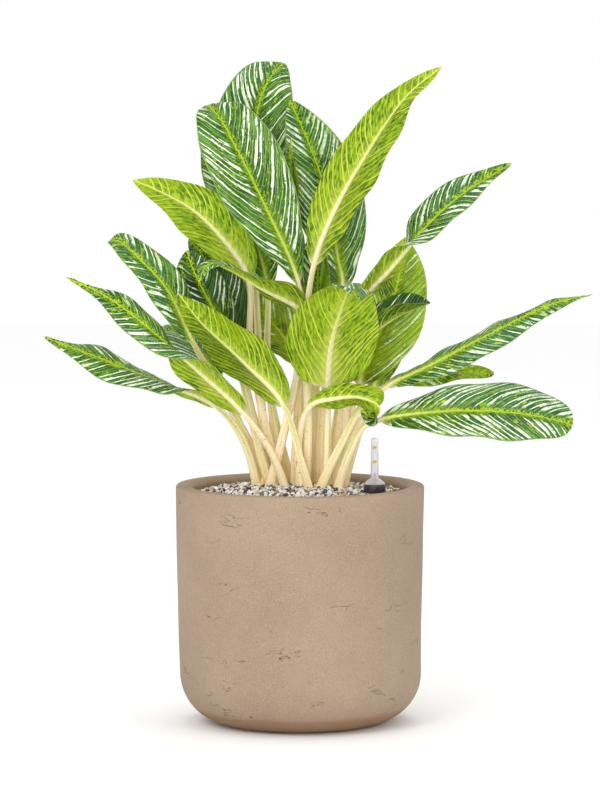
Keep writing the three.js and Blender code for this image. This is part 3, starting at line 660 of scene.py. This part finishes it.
def make_indicator(black, clear, red):
    """Round pieces about the indicator's own axis: a black sleeve with a rounded collar, a clear dome drawn
    up into a tube, and the needle with its red tip."""
    centre = (GAUGE_X, GAUGE_Y)
    sleeve_radius = COLLAR_RADIUS - SLEEVE_INSET
    bore = COLLAR_RADIUS - BORE_INSET
    collar_top = SLEEVE_HIGH.z
    collar_low = collar_top - COLLAR_HEIGHT
    sleeve_floor = SLEEVE_LOW.z + SLEEVE_FLOOR
    low, top = COLLAR_LOW_ROUND, COLLAR_TOP_ROUND
    sleeve = np.vstack([
        [[0, SLEEVE_LOW.z], [sleeve_radius, SLEEVE_LOW.z], [sleeve_radius, collar_low]],
        arc(COLLAR_RADIUS - low, collar_low + low, low, -90, 0, 4),
        arc(COLLAR_RADIUS - top, collar_top - top, top, 0, 90, 6),
        [[bore, collar_top], [bore, sleeve_floor], [0, sleeve_floor]],
    ])
    make_piece("indicator_collar", *turned(sleeve, 72, centre), black, "planter", "black_plastic",
               ["indicator_sleeve"])

    dome_low, dome_top = collar_top + DOME_GAP, collar_top + DOME_HEIGHT
    rise = np.linspace(0, 1, 14)
    swell = TUBE_RADIUS + (COLLAR_RADIUS - 0.5 * MM - TUBE_RADIUS) * np.minimum(1, 1.12 * (1 - rise))
    outside = np.stack([swell, dome_low + rise * (dome_top - dome_low)], -1)
    end_x, end_z = TUBE_RADIUS - TUBE_END_ROUND, TUBE_TOP - TUBE_END_ROUND
    outer = np.vstack([outside, arc(end_x, end_z, TUBE_END_ROUND, 0, 90, 5)])
    inner = np.vstack([
        arc(end_x, end_z - TUBE_WALL * 0.2, TUBE_END_ROUND - TUBE_WALL * 0.8, 90, 0, 4),
        outside[::-1] - [TUBE_WALL, 0],
    ])
    spots, quads = closed_lathe(np.vstack([outer, inner]), 72, centre)
    make_piece("indicator_window", spots, quads, [], clear, "planter", "clear_plastic", ["indicator_dome"])

    tip_low = NEEDLE_HIGH.z - TIP_LENGTH
    low, top = TIP_LOW_ROUND, TIP_TOP_ROUND
    needle = np.vstack([
        [[0, NEEDLE_LOW.z], [NEEDLE_RADIUS, NEEDLE_LOW.z], [NEEDLE_RADIUS, tip_low]],
        arc(TIP_RADIUS - low, tip_low + low, low, -90, 0, 4),
        arc(TIP_RADIUS - top, NEEDLE_HIGH.z - top, top, 0, 90, 4),
        [[0, NEEDLE_HIGH.z]],
    ])
    make_piece("indicator_pointer", *turned(needle, 40, centre), red, "float", "red_plastic",
               ["indicator_needle"])


# ---------------------------------------------------------------- finishes


def paint(red, green, blue):
    """A colour given as 0-255 display values, as the linear colour that nodes work in."""
    shown = np.array([red, green, blue]) / 255
    linear = np.where(shown <= 0.04045, shown / 12.92, ((shown + 0.055) / 1.055) ** 2.4)
    return (*(float(c) for c in linear), 1.0)


class Finish:
    """A material under construction. Each method adds one node and gives back its output; an argument is
    either an output or a plain value."""

    def __init__(self, name, **shader):
        self.material = bpy.data.materials.new(name)
        self.material.use_nodes = True
        self.tree = self.material.node_tree
        self.shader = self.tree.nodes["Principled BSDF"]
        for key, value in shader.items():
            self.shader.inputs[key.replace("_", " ")].default_value = value

    def node(self, kind, settings=None, **inputs):
        """A node with its settings and inputs. i0, i1 and i2 are inputs by number, the rest go by name."""
        made = self.tree.nodes.new(kind)
        for key, value in (settings or {}).items():
            setattr(made, key, value)
        for key, value in inputs.items():
            numbered = key[0] == "i" and key[1:].isdigit()
            self.feed(made.inputs[int(key[1:]) if numbered else key.replace("_", " ")], value)
        return made

    def feed(self, socket, value):
        if isinstance(value, bpy.types.NodeSocket):
            self.tree.links.new(value, socket)
        else:
            socket.default_value = value

    def math(self, operation, a, b=0.0, c=0.0):
        return self.node("ShaderNodeMath", {"operation": operation}, i0=a, i1=b, i2=c).outputs[0]

    def plus(self, a, b):
        return self.math("ADD", a, b)

    def minus(self, a, b):
        return self.math("SUBTRACT", a, b)

    def times(self, a, b):
        return self.math("MULTIPLY", a, b)

    def size(self, a):
        return self.math("ABSOLUTE", a)

    def rise(self, value, low, high, start=0.0, stop=1.0):
        """Smoothly from start to stop while value goes from low to high, and level outside."""
        made = self.node("ShaderNodeMapRange", {"interpolation_type": "SMOOTHSTEP"}, Value=value)
        for key, number in (("From Min", low), ("From Max", high), ("To Min", start), ("To Max", stop)):
            self.feed(made.inputs[key], number)
        return made.outputs[0]

    def vector(self, x, y, z):
        return self.node("ShaderNodeCombineXYZ", X=x, Y=y, Z=z).outputs[0]

    def stored(self, name):
        return self.node("ShaderNodeAttribute", {"attribute_type": "GEOMETRY", "attribute_name": name})

    def split(self, vector):
        return self.node("ShaderNodeSeparateXYZ", Vector=vector).outputs

    def place(self):
        return self.node("ShaderNodeTexCoord").outputs["Object"]

    def stretched(self, vector, x, y, z):
        return self.node("ShaderNodeMapping", None, Vector=vector, Scale=(x, y, z)).outputs[0]

    def noise(self, vector, scale, detail=2.0, rough=0.5, warp=0.0):
        return self.node("ShaderNodeTexNoise", None, Vector=vector, Scale=scale, Detail=detail,
                         Roughness=rough, Distortion=warp).outputs[0]

    def chance(self, vector):
        """A number from 0 to 1, the same wherever the vector is."""
        return self.node("ShaderNodeTexWhiteNoise", {"noise_dimensions": "3D"}, Vector=vector).outputs[0]

    def mix(self, share, low, high):
        made = self.node("ShaderNodeMix", {"data_type": "RGBA"}, Factor=share)
        self.feed(made.inputs[6], low)
        self.feed(made.inputs[7], high)
        return made.outputs[2]

    def tones(self, value, *stops):
        """A colour ramp from (position, colour) stops."""
        made = self.node("ShaderNodeValToRGB", None, Fac=value)
        ramp = made.color_ramp
        while len(ramp.elements) < len(stops):
            ramp.elements.new(0.5)
        for element, (position, colour) in zip(ramp.elements, stops):
            element.position, element.color = position, colour
        return made.outputs[0]

    def bump(self, height, distance, strength=1.0):
        return self.node("ShaderNodeBump", None, Height=height, Distance=distance,
                         Strength=strength).outputs[0]

    def done(self, colour, rough, normal):
        self.feed(self.shader.inputs["Base Color"], colour)
        self.feed(self.shader.inputs["Roughness"], rough)
        self.feed(self.shader.inputs["Normal"], normal)
        return self.material


def leaf_finish(name, ground, streak_width, streak_share, lime_share, dark_share, streaks=True):
    """A leaf: the upper side has green ground, white ragged streaks along some side veins, thin pale lines
    along the rest, lime speckles, a yellow midrib and broad patches of painted sheen; the underside is
    yellow-green with cream ribs; the stalk is cream with tan streaks, whose darkest tan is painted shade.

    leaf_run holds metres along the midrib, metres out from it, and the leaf's own seed. leaf_lie holds the
    place across (-1 to 1), the share of the blade from neck to tip (below 0 on the stalk), and the turn round
    it. Side veins are counted by (along - lean out - bend out^2) / spacing."""
    f = Finish(name, Specular_IOR_Level=0.22)
    along, out, seed = f.split(f.stored("leaf_run").outputs["Vector"])
    across, share, spin = f.split(f.stored("leaf_lie").outputs["Vector"])
    under = f.stored("leaf_under").outputs["Fac"]
    far = f.size(out)
    side = f.math("SIGN", out)
    edge = f.size(across)
    own = f.vector(along, out, f.times(seed, 7.0))

    drift = f.times(f.minus(f.noise(own, 38.0, 2.0), 0.5), 0.007)
    lean = f.plus(f.times(far, VEIN_LEAN), f.times(f.math("POWER", far, 2.0), VEIN_BEND))
    count = f.plus(f.math("DIVIDE", f.plus(f.minus(along, lean), drift), VEIN_SPACING),
                   f.plus(f.times(side, 0.22), f.times(seed, 9.0)))
    whole = f.math("FLOOR", count)
    turn = f.minus(f.minus(count, whole), 0.5)
    off = f.size(turn)
    steep = f.plus(f.times(far, 2 * VEIN_BEND), VEIN_LEAN)
    square = f.math("SQRT", f.plus(f.math("POWER", steep, 2.0), 1.0))
    apart = f.math("DIVIDE", f.times(off, VEIN_SPACING), square)
    past = f.math("DIVIDE", f.times(turn, VEIN_SPACING), square)
    half_count = f.math("FRACT", f.plus(count, 0.5))
    apart_half = f.math("DIVIDE", f.times(f.size(f.minus(half_count, 0.5)), VEIN_SPACING), square)
    luck = f.chance(f.vector(whole, side, seed))

    ragged = f.times(f.minus(f.noise(own, 430.0, 3.0, 0.75), 0.5), 0.0032)
    own_side = f.plus(f.times(side, 3.0), f.times(seed, 11.0))
    flow = f.vector(f.times(count, 0.9), f.times(far, 55.0), own_side)
    swell = f.noise(flow, 1.0, 2.0)
    swelling = f.times(f.rise(luck, 0.3, 1.0, 0.5, 1.3), f.rise(swell, 0.44, 0.64, 0.0, 2.6))
    width = f.times(swelling, streak_width)
    spread = f.rise(f.plus(past, ragged), width, f.plus(width, 0.00025), 1.0, 0.0)
    spread = f.times(spread, f.rise(past, -0.0005, -0.0002))
    thread = f.rise(apart, 0.00035, 0.00065, 1.0, 0.0)
    streak = f.math("MAXIMUM", spread, thread)
    present = f.rise(luck, 1 - streak_share, 1.02 - streak_share)
    from_rib = f.rise(far, f.plus(f.times(luck, 0.004), 0.0015), f.plus(f.times(luck, 0.006), 0.004))
    to_margin = f.rise(edge, 0.9, 0.985, 1.0, 0.0)
    whole_enough = f.rise(f.noise(own, 150.0, 2.0, 0.7), 0.34, 0.44, 0.35, 1.0)
    streak = f.times(f.times(f.times(streak, present), whole_enough), f.times(from_rib, to_margin))

    blotch = f.noise(f.vector(f.times(count, 1.6), f.times(far, 90.0), f.times(seed, 5.0)), 1.0, 3.0, 0.6)
    upper = f.mix(f.rise(blotch, 0.38, 0.66), ground["deep"], ground["mid"])
    patches = f.noise(own, 30.0, 3.0, 0.6)
    upper = f.mix(f.times(f.rise(patches, 0.45, 0.62), dark_share), upper, ground["dark"])
    # Painted sheen: broad patches of greyer green stand for the sheen of light on the upper side.
    upper = f.mix(f.times(f.rise(f.noise(own, 17.0, 1.0), 0.44, 0.58), 0.55), upper, ground["painted_sheen"])
    toward_base = f.rise(share, 0.02, 0.55, 1.0, 0.0)
    near_rib = f.rise(edge, 0.05, 0.6, 1.0, 0.0)
    upper = f.mix(f.times(f.times(toward_base, near_rib), 0.45), upper, ground["lime"])
    fleck = f.noise(f.vector(f.times(count, 2.3), f.times(far, 260.0), f.times(seed, 13.0)), 1.0, 3.0, 0.75)
    lime_spread = f.rise(f.noise(own, 24.0, 1.0), 0.55 - lime_share * 0.3, 0.72 - lime_share * 0.3)
    lime_mask = f.times(f.rise(fleck, 0.575, 0.63), lime_spread)
    by_rib = f.times(f.rise(far, 0.0015, 0.0055, 1.0, 0.0), f.rise(f.noise(own, 460.0, 2.0), 0.47, 0.56))
    lime_mask = f.math("MAXIMUM", lime_mask, f.times(by_rib, 0.8))
    upper = f.mix(lime_mask, upper, ground["lime"])
    hair = f.times(f.rise(apart_half, 0.0002, 0.0005, 1.0, 0.0), 0.55)
    hair = f.times(hair, f.rise(f.noise(flow, 2.4, 2.0), 0.45, 0.6))
    upper = f.mix(hair, upper, ground["pale"])
    thin_vein = f.times(f.rise(apart, 0.0002, 0.0006, 1.0, 0.0), 0.5)
    upper = f.mix(thin_vein, upper, ground["pale"])
    white = f.mix(f.rise(f.noise(own, 240.0, 2.0), 0.35, 0.6), paint(200, 220, 178), paint(238, 244, 226))
    if streaks:
        upper = f.mix(streak, upper, white)
    margin = f.rise(edge, 0.955, 0.99)
    upper = f.mix(f.times(margin, 0.6), upper, ground["pale"])
    rib_half = f.rise(share, 0.0, 1.0, 0.0016, 0.0005)
    rib = f.rise(far, f.times(rib_half, 0.7), f.times(rib_half, 1.35), 1.0, 0.0)
    rib_colour = f.mix(f.rise(share, 0.0, 0.45), paint(218, 220, 132), paint(170, 194, 48))
    upper = f.mix(rib, upper, rib_colour)

    mottle = f.noise(f.vector(f.times(count, 2.2), f.times(far, 260.0), f.times(seed, 3.0)), 1.0, 3.0, 0.65)
    lower = f.tones(mottle, (0.38, ground["under_dark"]), (0.49, ground["under"]),
                    (0.60, ground["under_light"]))
    cloud = f.noise(own, 21.0, 2.0)
    lower = f.mix(f.times(f.rise(cloud, 0.42, 0.7), 0.5), lower, ground["under_light"])
    pale_base = f.times(f.rise(share, 0.0, 0.42, 1.0, 0.0), f.rise(edge, 0.1, 0.85, 1.0, 0.0))
    pale_rib = f.times(f.rise(edge, 0.02, 0.3, 1.0, 0.0), f.rise(share, 0.2, 1.0, 0.55, 0.1))
    paleness = f.math("MINIMUM", f.plus(f.times(pale_base, 0.6), pale_rib), 0.8)
    lower = f.mix(paleness, lower, paint(200, 210, 92))
    vein_under = f.times(f.rise(apart, 0.0002, 0.0008, 1.0, 0.0), f.rise(luck, 0.25, 0.7, 0.12, 0.95))
    lower = f.mix(vein_under, lower, paint(200, 212, 84))
    keel_half = f.rise(share, 0.0, 1.0, 0.0030, 0.0008)
    keel = f.rise(far, f.times(keel_half, 0.75), f.times(keel_half, 1.1), 1.0, 0.0)
    lower = f.mix(keel, lower, f.mix(f.rise(share, 0.0, 0.8), paint(232, 224, 178), paint(200, 208, 100)))
    blade = f.mix(under, upper, lower)

    around = f.times(spin, 46.0)
    fibre = f.noise(f.vector(around, f.times(along, 9.0), f.times(seed, 17.0)), 1.0, 3.0, 0.6)
    # Tan streaks along the stalk: partly its own streaks and partly painted shade, as the darkest tan lies in
    # the low grooves of the relief.
    stalk = f.tones(fibre, (0.30, paint(226, 184, 104)), (0.43, paint(246, 222, 164)),
                    (0.58, paint(255, 244, 212)), (0.78, paint(255, 250, 230)))
    foot = f.rise(share, -1.0, -0.55, 1.0, 0.0)
    stalk = f.mix(f.times(foot, 0.4), stalk, paint(238, 200, 126))
    tinge = f.noise(f.vector(f.times(spin, 5.0), f.times(along, 4.0), seed), 1.0, 1.0)
    green_side = f.times(f.rise(tinge, 0.54, 0.66), f.rise(share, -0.9, -0.1, 0.0, 0.75))
    stalk = f.mix(green_side, stalk, paint(178, 196, 72))
    dots = f.noise(f.vector(f.times(spin, 24.0), f.times(along, 230.0), f.times(seed, 23.0)), 1.0, 1.0)
    stalk = f.mix(f.times(f.rise(dots, 0.69, 0.73), 0.7), stalk, paint(150, 98, 50))
    colour = f.mix(f.rise(share, -0.03, 0.05), stalk, blade)

    relief = f.times(f.rise(apart, 0.0, 0.0024, 0.0, 1.6), f.rise(share, 0.0, 0.1))
    sign = f.rise(under, 0.0, 1.0, 1.0, -1.0)
    grain = f.noise(own, 1500.0, 2.0)
    fibre_height = f.times(fibre, f.rise(share, -0.05, 0.05, 2.0, 0.0))
    height = f.plus(f.plus(f.times(relief, sign), f.times(grain, 0.12)), fibre_height)
    gloss = f.rise(f.noise(own, 90.0, 2.0), 0.3, 0.7, 0.36, 0.48)
    rough = f.plus(gloss, f.times(under, 0.14))
    return f.done(colour, rough, f.bump(height, 0.0004, 0.9))


def leaf_finishes():
    shared = {
        "lime": paint(172, 200, 4), "pale": paint(146, 180, 96), "painted_sheen": paint(50, 98, 62),
        "under": paint(112, 146, 2), "under_dark": paint(58, 98, 0), "under_light": paint(158, 182, 24),
    }
    striped = {**shared, "deep": paint(30, 78, 8), "mid": paint(82, 134, 34), "dark": paint(20, 60, 16)}
    # Darker leaves, partly painted shade: the darker underside tones paint the shadow on the curled leaf's
    # underside.
    dark = {**shared, "deep": paint(20, 60, 6), "mid": paint(56, 98, 22), "dark": paint(10, 38, 2),
            "pale": paint(96, 136, 66), "painted_sheen": paint(48, 88, 48),
            "under": paint(66, 100, 8), "under_dark": paint(32, 66, 2), "under_light": paint(112, 142, 22)}
    speckled = {**shared, "deep": paint(104, 142, 8), "mid": paint(142, 174, 16), "dark": paint(32, 72, 2),
                "lime": paint(188, 204, 34), "pale": paint(172, 190, 60), "painted_sheen": paint(128, 160, 30)}
    young = {**shared, "deep": paint(78, 116, 6), "mid": paint(108, 140, 20), "dark": paint(60, 98, 6),
             "pale": paint(130, 160, 40), "painted_sheen": paint(96, 130, 40)}
    return {
        "striped": leaf_finish("leaf_striped", striped, 0.0013, 0.66, 0.75, 0.5),
        "dark": leaf_finish("leaf_dark", dark, 0.0005, 0.55, 0.2, 0.7),
        "speckled": leaf_finish("leaf_speckled", speckled, 0.0006, 0.3, 0.9, 0.85),
        "young": leaf_finish("leaf_young", young, 0.0, 0.0, 0.1, 0.4, streaks=False),
    }


def shoot_finish():
    """A young shoot: ginger at its scale's edge, cream where it has just opened."""
    f = Finish("young_shoot")
    fibre = f.noise(f.stretched(f.place(), 900, 900, 60), 1.0, 3.0)
    up = f.rise(f.split(f.place())[2], SHOOT_LOW.z, SHOOT_HIGH.z)
    colour = f.tones(f.plus(f.times(fibre, 0.5), f.times(up, 0.4)), (0.2, paint(196, 138, 58)),
                     (0.5, paint(222, 176, 92)), (0.8, paint(238, 206, 140)))
    return f.done(colour, f.rise(fibre, 0.2, 0.8, 0.5, 0.7), f.bump(fibre, 0.0004))


def pot_finish():
    """Sanded concrete: fine light and dark sand in a warm grey-brown ground, slow clouds, small round pits,
    creases that run mostly level, and a browner inner wall."""
    f = Finish("sandy_concrete")
    at = f.place()
    x, y, z = f.split(at)
    cloud = f.noise(at, 9.0, 3.0, 0.6)
    colour = f.tones(cloud, (0.34, paint(147, 127, 106)), (0.50, paint(153, 132, 110)),
                     (0.68, paint(158, 138, 116)))
    sand = f.noise(at, 760.0, 3.0, 0.85)
    colour = f.mix(f.rise(sand, 0.54, 0.66, 0.0, 0.6), colour, paint(184, 166, 144))
    colour = f.mix(f.rise(sand, 0.34, 0.46, 0.6, 0.0), colour, paint(116, 96, 76))
    level = f.stretched(at, 1.0, 1.0, 2.6)
    seam_field = f.noise(level, 26.0, 4.0, 0.55, 0.6)
    seam_line = f.rise(f.size(f.minus(seam_field, 0.5)), 0.0, 0.006, 1.0, 0.0)
    seam_here = f.rise(f.noise(level, 19.0, 1.0), 0.61, 0.68)
    seam = f.times(seam_line, seam_here)
    pit_field = f.node("ShaderNodeTexVoronoi", {"feature": "F1"}, Vector=f.stretched(at, 1.0, 1.0, 1.5),
                       Scale=42.0)
    pit_luck = f.split(pit_field.outputs["Color"])[0]
    wobble = f.times(f.minus(f.noise(at, 420.0, 2.0), 0.5), 0.06)
    pit_size = f.rise(pit_luck, 0.78, 1.0, 0.0, 0.10)
    pit = f.rise(f.plus(pit_field.outputs["Distance"], wobble), f.times(pit_size, 0.5), pit_size, 1.0, 0.0)
    pit = f.times(pit, f.rise(pit_luck, 0.80, 0.81))
    hurt = f.math("MAXIMUM", f.times(seam, 0.75), pit)
    colour = f.mix(f.times(hurt, 0.75), colour, paint(84, 66, 48))
    from_axis = f.math("SQRT", f.plus(f.math("POWER", x, 2.0), f.math("POWER", y, 2.0)))
    inner = POT_RADIUS - POT_WALL
    inside = f.times(f.rise(from_axis, inner - 0.002, inner + 0.004, 1.0, 0.0),
                     f.rise(z, POT_TOP - 0.010, POT_TOP - 0.002, 1.0, 0.0))
    colour = f.mix(f.times(inside, 0.8), colour, paint(140, 104, 74))
    low = f.rise(z, 0.0, 0.035, 0.22, 0.0)
    colour = f.mix(low, colour, paint(132, 112, 90))
    height = f.minus(f.plus(f.times(sand, 0.22), f.times(cloud, 0.8)), f.times(hurt, 2.2))
    rough = f.rise(sand, 0.3, 0.7, 0.78, 0.92)
    return f.done(colour, rough, f.bump(height, 0.0007, 0.9))


def grain_finish():
    """Mixed granulate: icy white, cream, grey, tan, rust and purple-black grains, each a little mottled."""
    f = Finish("mixed_granulate")
    tone = f.stored("grain_tone").outputs["Fac"]
    stops = [(0.0, (44, 32, 42)), (0.16, (84, 64, 70)), (0.24, (128, 92, 66)), (0.34, (150, 128, 110)),
             (0.42, (184, 168, 152)), (0.52, (214, 206, 198)), (0.66, (236, 232, 226)),
             (0.78, (206, 228, 234)), (0.90, (238, 224, 206)), (0.97, (252, 252, 250))]
    colour = f.tones(tone, *[(position, paint(*shade)) for position, shade in stops])
    speck = f.noise(f.place(), 1300.0, 3.0, 0.7)
    colour = f.mix(f.rise(speck, 0.35, 0.5, 0.3, 0.0), colour, paint(110, 92, 82))
    return f.done(colour, f.rise(speck, 0.3, 0.7, 0.65, 0.9), f.bump(speck, 0.0004))


def fines_finish(name, dark, light, scale):
    """Packed fines, or roots among them: dark ground with lighter crumbs."""
    f = Finish(name)
    crumbs = f.noise(f.place(), scale, 4.0, 0.7)
    colour = f.mix(f.rise(crumbs, 0.42, 0.62), dark, light)
    return f.done(colour, f.rise(crumbs, 0.3, 0.7, 0.8, 0.95), f.bump(crumbs, 0.001))


def plastic_finish(name, base, worn, **shader):
    """Moulded plastic: a fine haze of wear in colour and gloss, and a faint orange-peel surface."""
    f = Finish(name, **shader)
    haze = f.noise(f.place(), 160.0, 3.0, 0.6)
    peel = f.noise(f.place(), 700.0, 1.0)
    colour = f.mix(f.rise(haze, 0.4, 0.7, 0.0, 0.6), base, worn)
    return f.done(colour, f.rise(haze, 0.3, 0.7, 0.22, 0.38), f.bump(peel, 0.00006))


def window_finish():
    """Milky clear plastic with two plain yellow bands painted on the front of the tube."""
    f = Finish("clear_plastic", Transmission_Weight=0.72, IOR=1.15)
    x, y, z = f.split(f.place())
    haze = f.noise(f.place(), 240.0, 2.0)
    colour = f.mix(f.rise(haze, 0.35, 0.7), paint(242, 242, 244), paint(236, 236, 240))
    front = f.rise(y, GAUGE_Y - 0.0030, GAUGE_Y - 0.0026, 1.0, 0.0)
    middle = f.rise(f.size(f.minus(x, GAUGE_X)), 0.0019, 0.0021, 1.0, 0.0)
    band = 0.0
    for below in BANDS_BELOW_TOP:
        line = f.rise(f.size(f.minus(z, TUBE_TOP - below)), 0.0013, 0.0015, 1.0, 0.0)
        band = f.math("MAXIMUM", line, band)
    colour = f.mix(f.times(f.times(front, middle), band), colour, paint(214, 186, 60))
    return f.done(colour, f.rise(haze, 0.3, 0.7, 0.08, 0.14), f.bump(haze, 0.00001, 0.3))


def dress_kept_nodes():
    """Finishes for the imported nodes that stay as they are."""
    kept = {
        "granulate_bed": fines_finish("granulate_bed_fines", paint(92, 78, 70), paint(172, 158, 146),
                                      320.0),
        "root_ball": fines_finish("root_felt", paint(150, 118, 76), paint(214, 190, 150), 180.0),
        "indicator_float": plastic_finish("foam_white", paint(232, 229, 220), paint(214, 210, 200)),
    }
    for name, finish in kept.items():
        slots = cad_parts[name].data.materials
        slots.clear()
        slots.append(finish)


# ---------------------------------------------------------------- stage


def make_stage():
    mesh = bpy.data.meshes.new("floor")
    corners = [(x * FLOOR_REACH, y * FLOOR_REACH, 0) for x, y in ((-1, -1), (1, -1), (1, 1), (-1, 1))]
    mesh.from_pydata(corners, [], [(0, 1, 2, 3)])
    f = Finish("pale_floor")
    soft = f.noise(f.place(), 2.0, 1.0)
    colour = f.mix(soft, paint(250, 250, 250), paint(253, 253, 253))
    mesh.materials.append(f.done(colour, 0.9, f.bump(soft, 0.0001)))
    floor = bpy.data.objects.new("floor", mesh)
    bpy.context.collection.objects.link(floor)


def make_light(name, place, aim, width, power):
    lamp = bpy.data.lights.new(name, "AREA")
    lamp.size, lamp.energy = width, power
    holder = bpy.data.objects.new(name, lamp)
    bpy.context.collection.objects.link(holder)
    holder.location = place
    holder.rotation_euler = aimed(place, aim)


def aimed(place, aim):
    """The turn that points a lamp's or camera's -Z from place to aim, with its top up."""
    x, y, z = np.array(aim) - np.array(place)
    return math.pi / 2 + math.atan2(z, math.hypot(x, y)), 0.0, math.atan2(-x, y)


def light_scene():
    scene = bpy.context.scene
    scene.view_settings.view_transform = "Standard"
    world = bpy.data.worlds.new("studio")
    scene.world = world
    world.use_nodes = True
    world.node_tree.nodes["Background"].inputs["Color"].default_value = (1.0, 1.0, 1.0, 1.0)
    world.node_tree.nodes["Background"].inputs["Strength"].default_value = 1.0
    for name, place, width, power in LAMPS:
        make_light(name, place, LAMP_AIM, width, power)


def make_camera():
    data = bpy.data.cameras.new("camera")
    data.lens = LENS
    camera = bpy.data.objects.new("camera", data)
    bpy.context.collection.objects.link(camera)
    camera.location = (0, -CAMERA_BACK, CAMERA_HEIGHT)
    camera.rotation_euler = aimed(camera.location, (0, 0, CAMERA_AIM_HEIGHT))
    bpy.context.scene.camera = camera


make_camera()
light_scene()
make_stage()
make_leaves(leaf_finishes())
make_young_shoot(shoot_finish())
make_pot(pot_finish())
make_granulate_floor(fines_finish("dark_fines", paint(64, 52, 50), paint(120, 104, 96), 600.0))
make_pebbles(grain_finish())
make_indicator(
    plastic_finish("black_plastic", paint(46, 36, 46), paint(70, 58, 68)),
    window_finish(),
    plastic_finish("red_plastic", paint(176, 36, 24), paint(196, 72, 40)),
)
dress_kept_nodes()
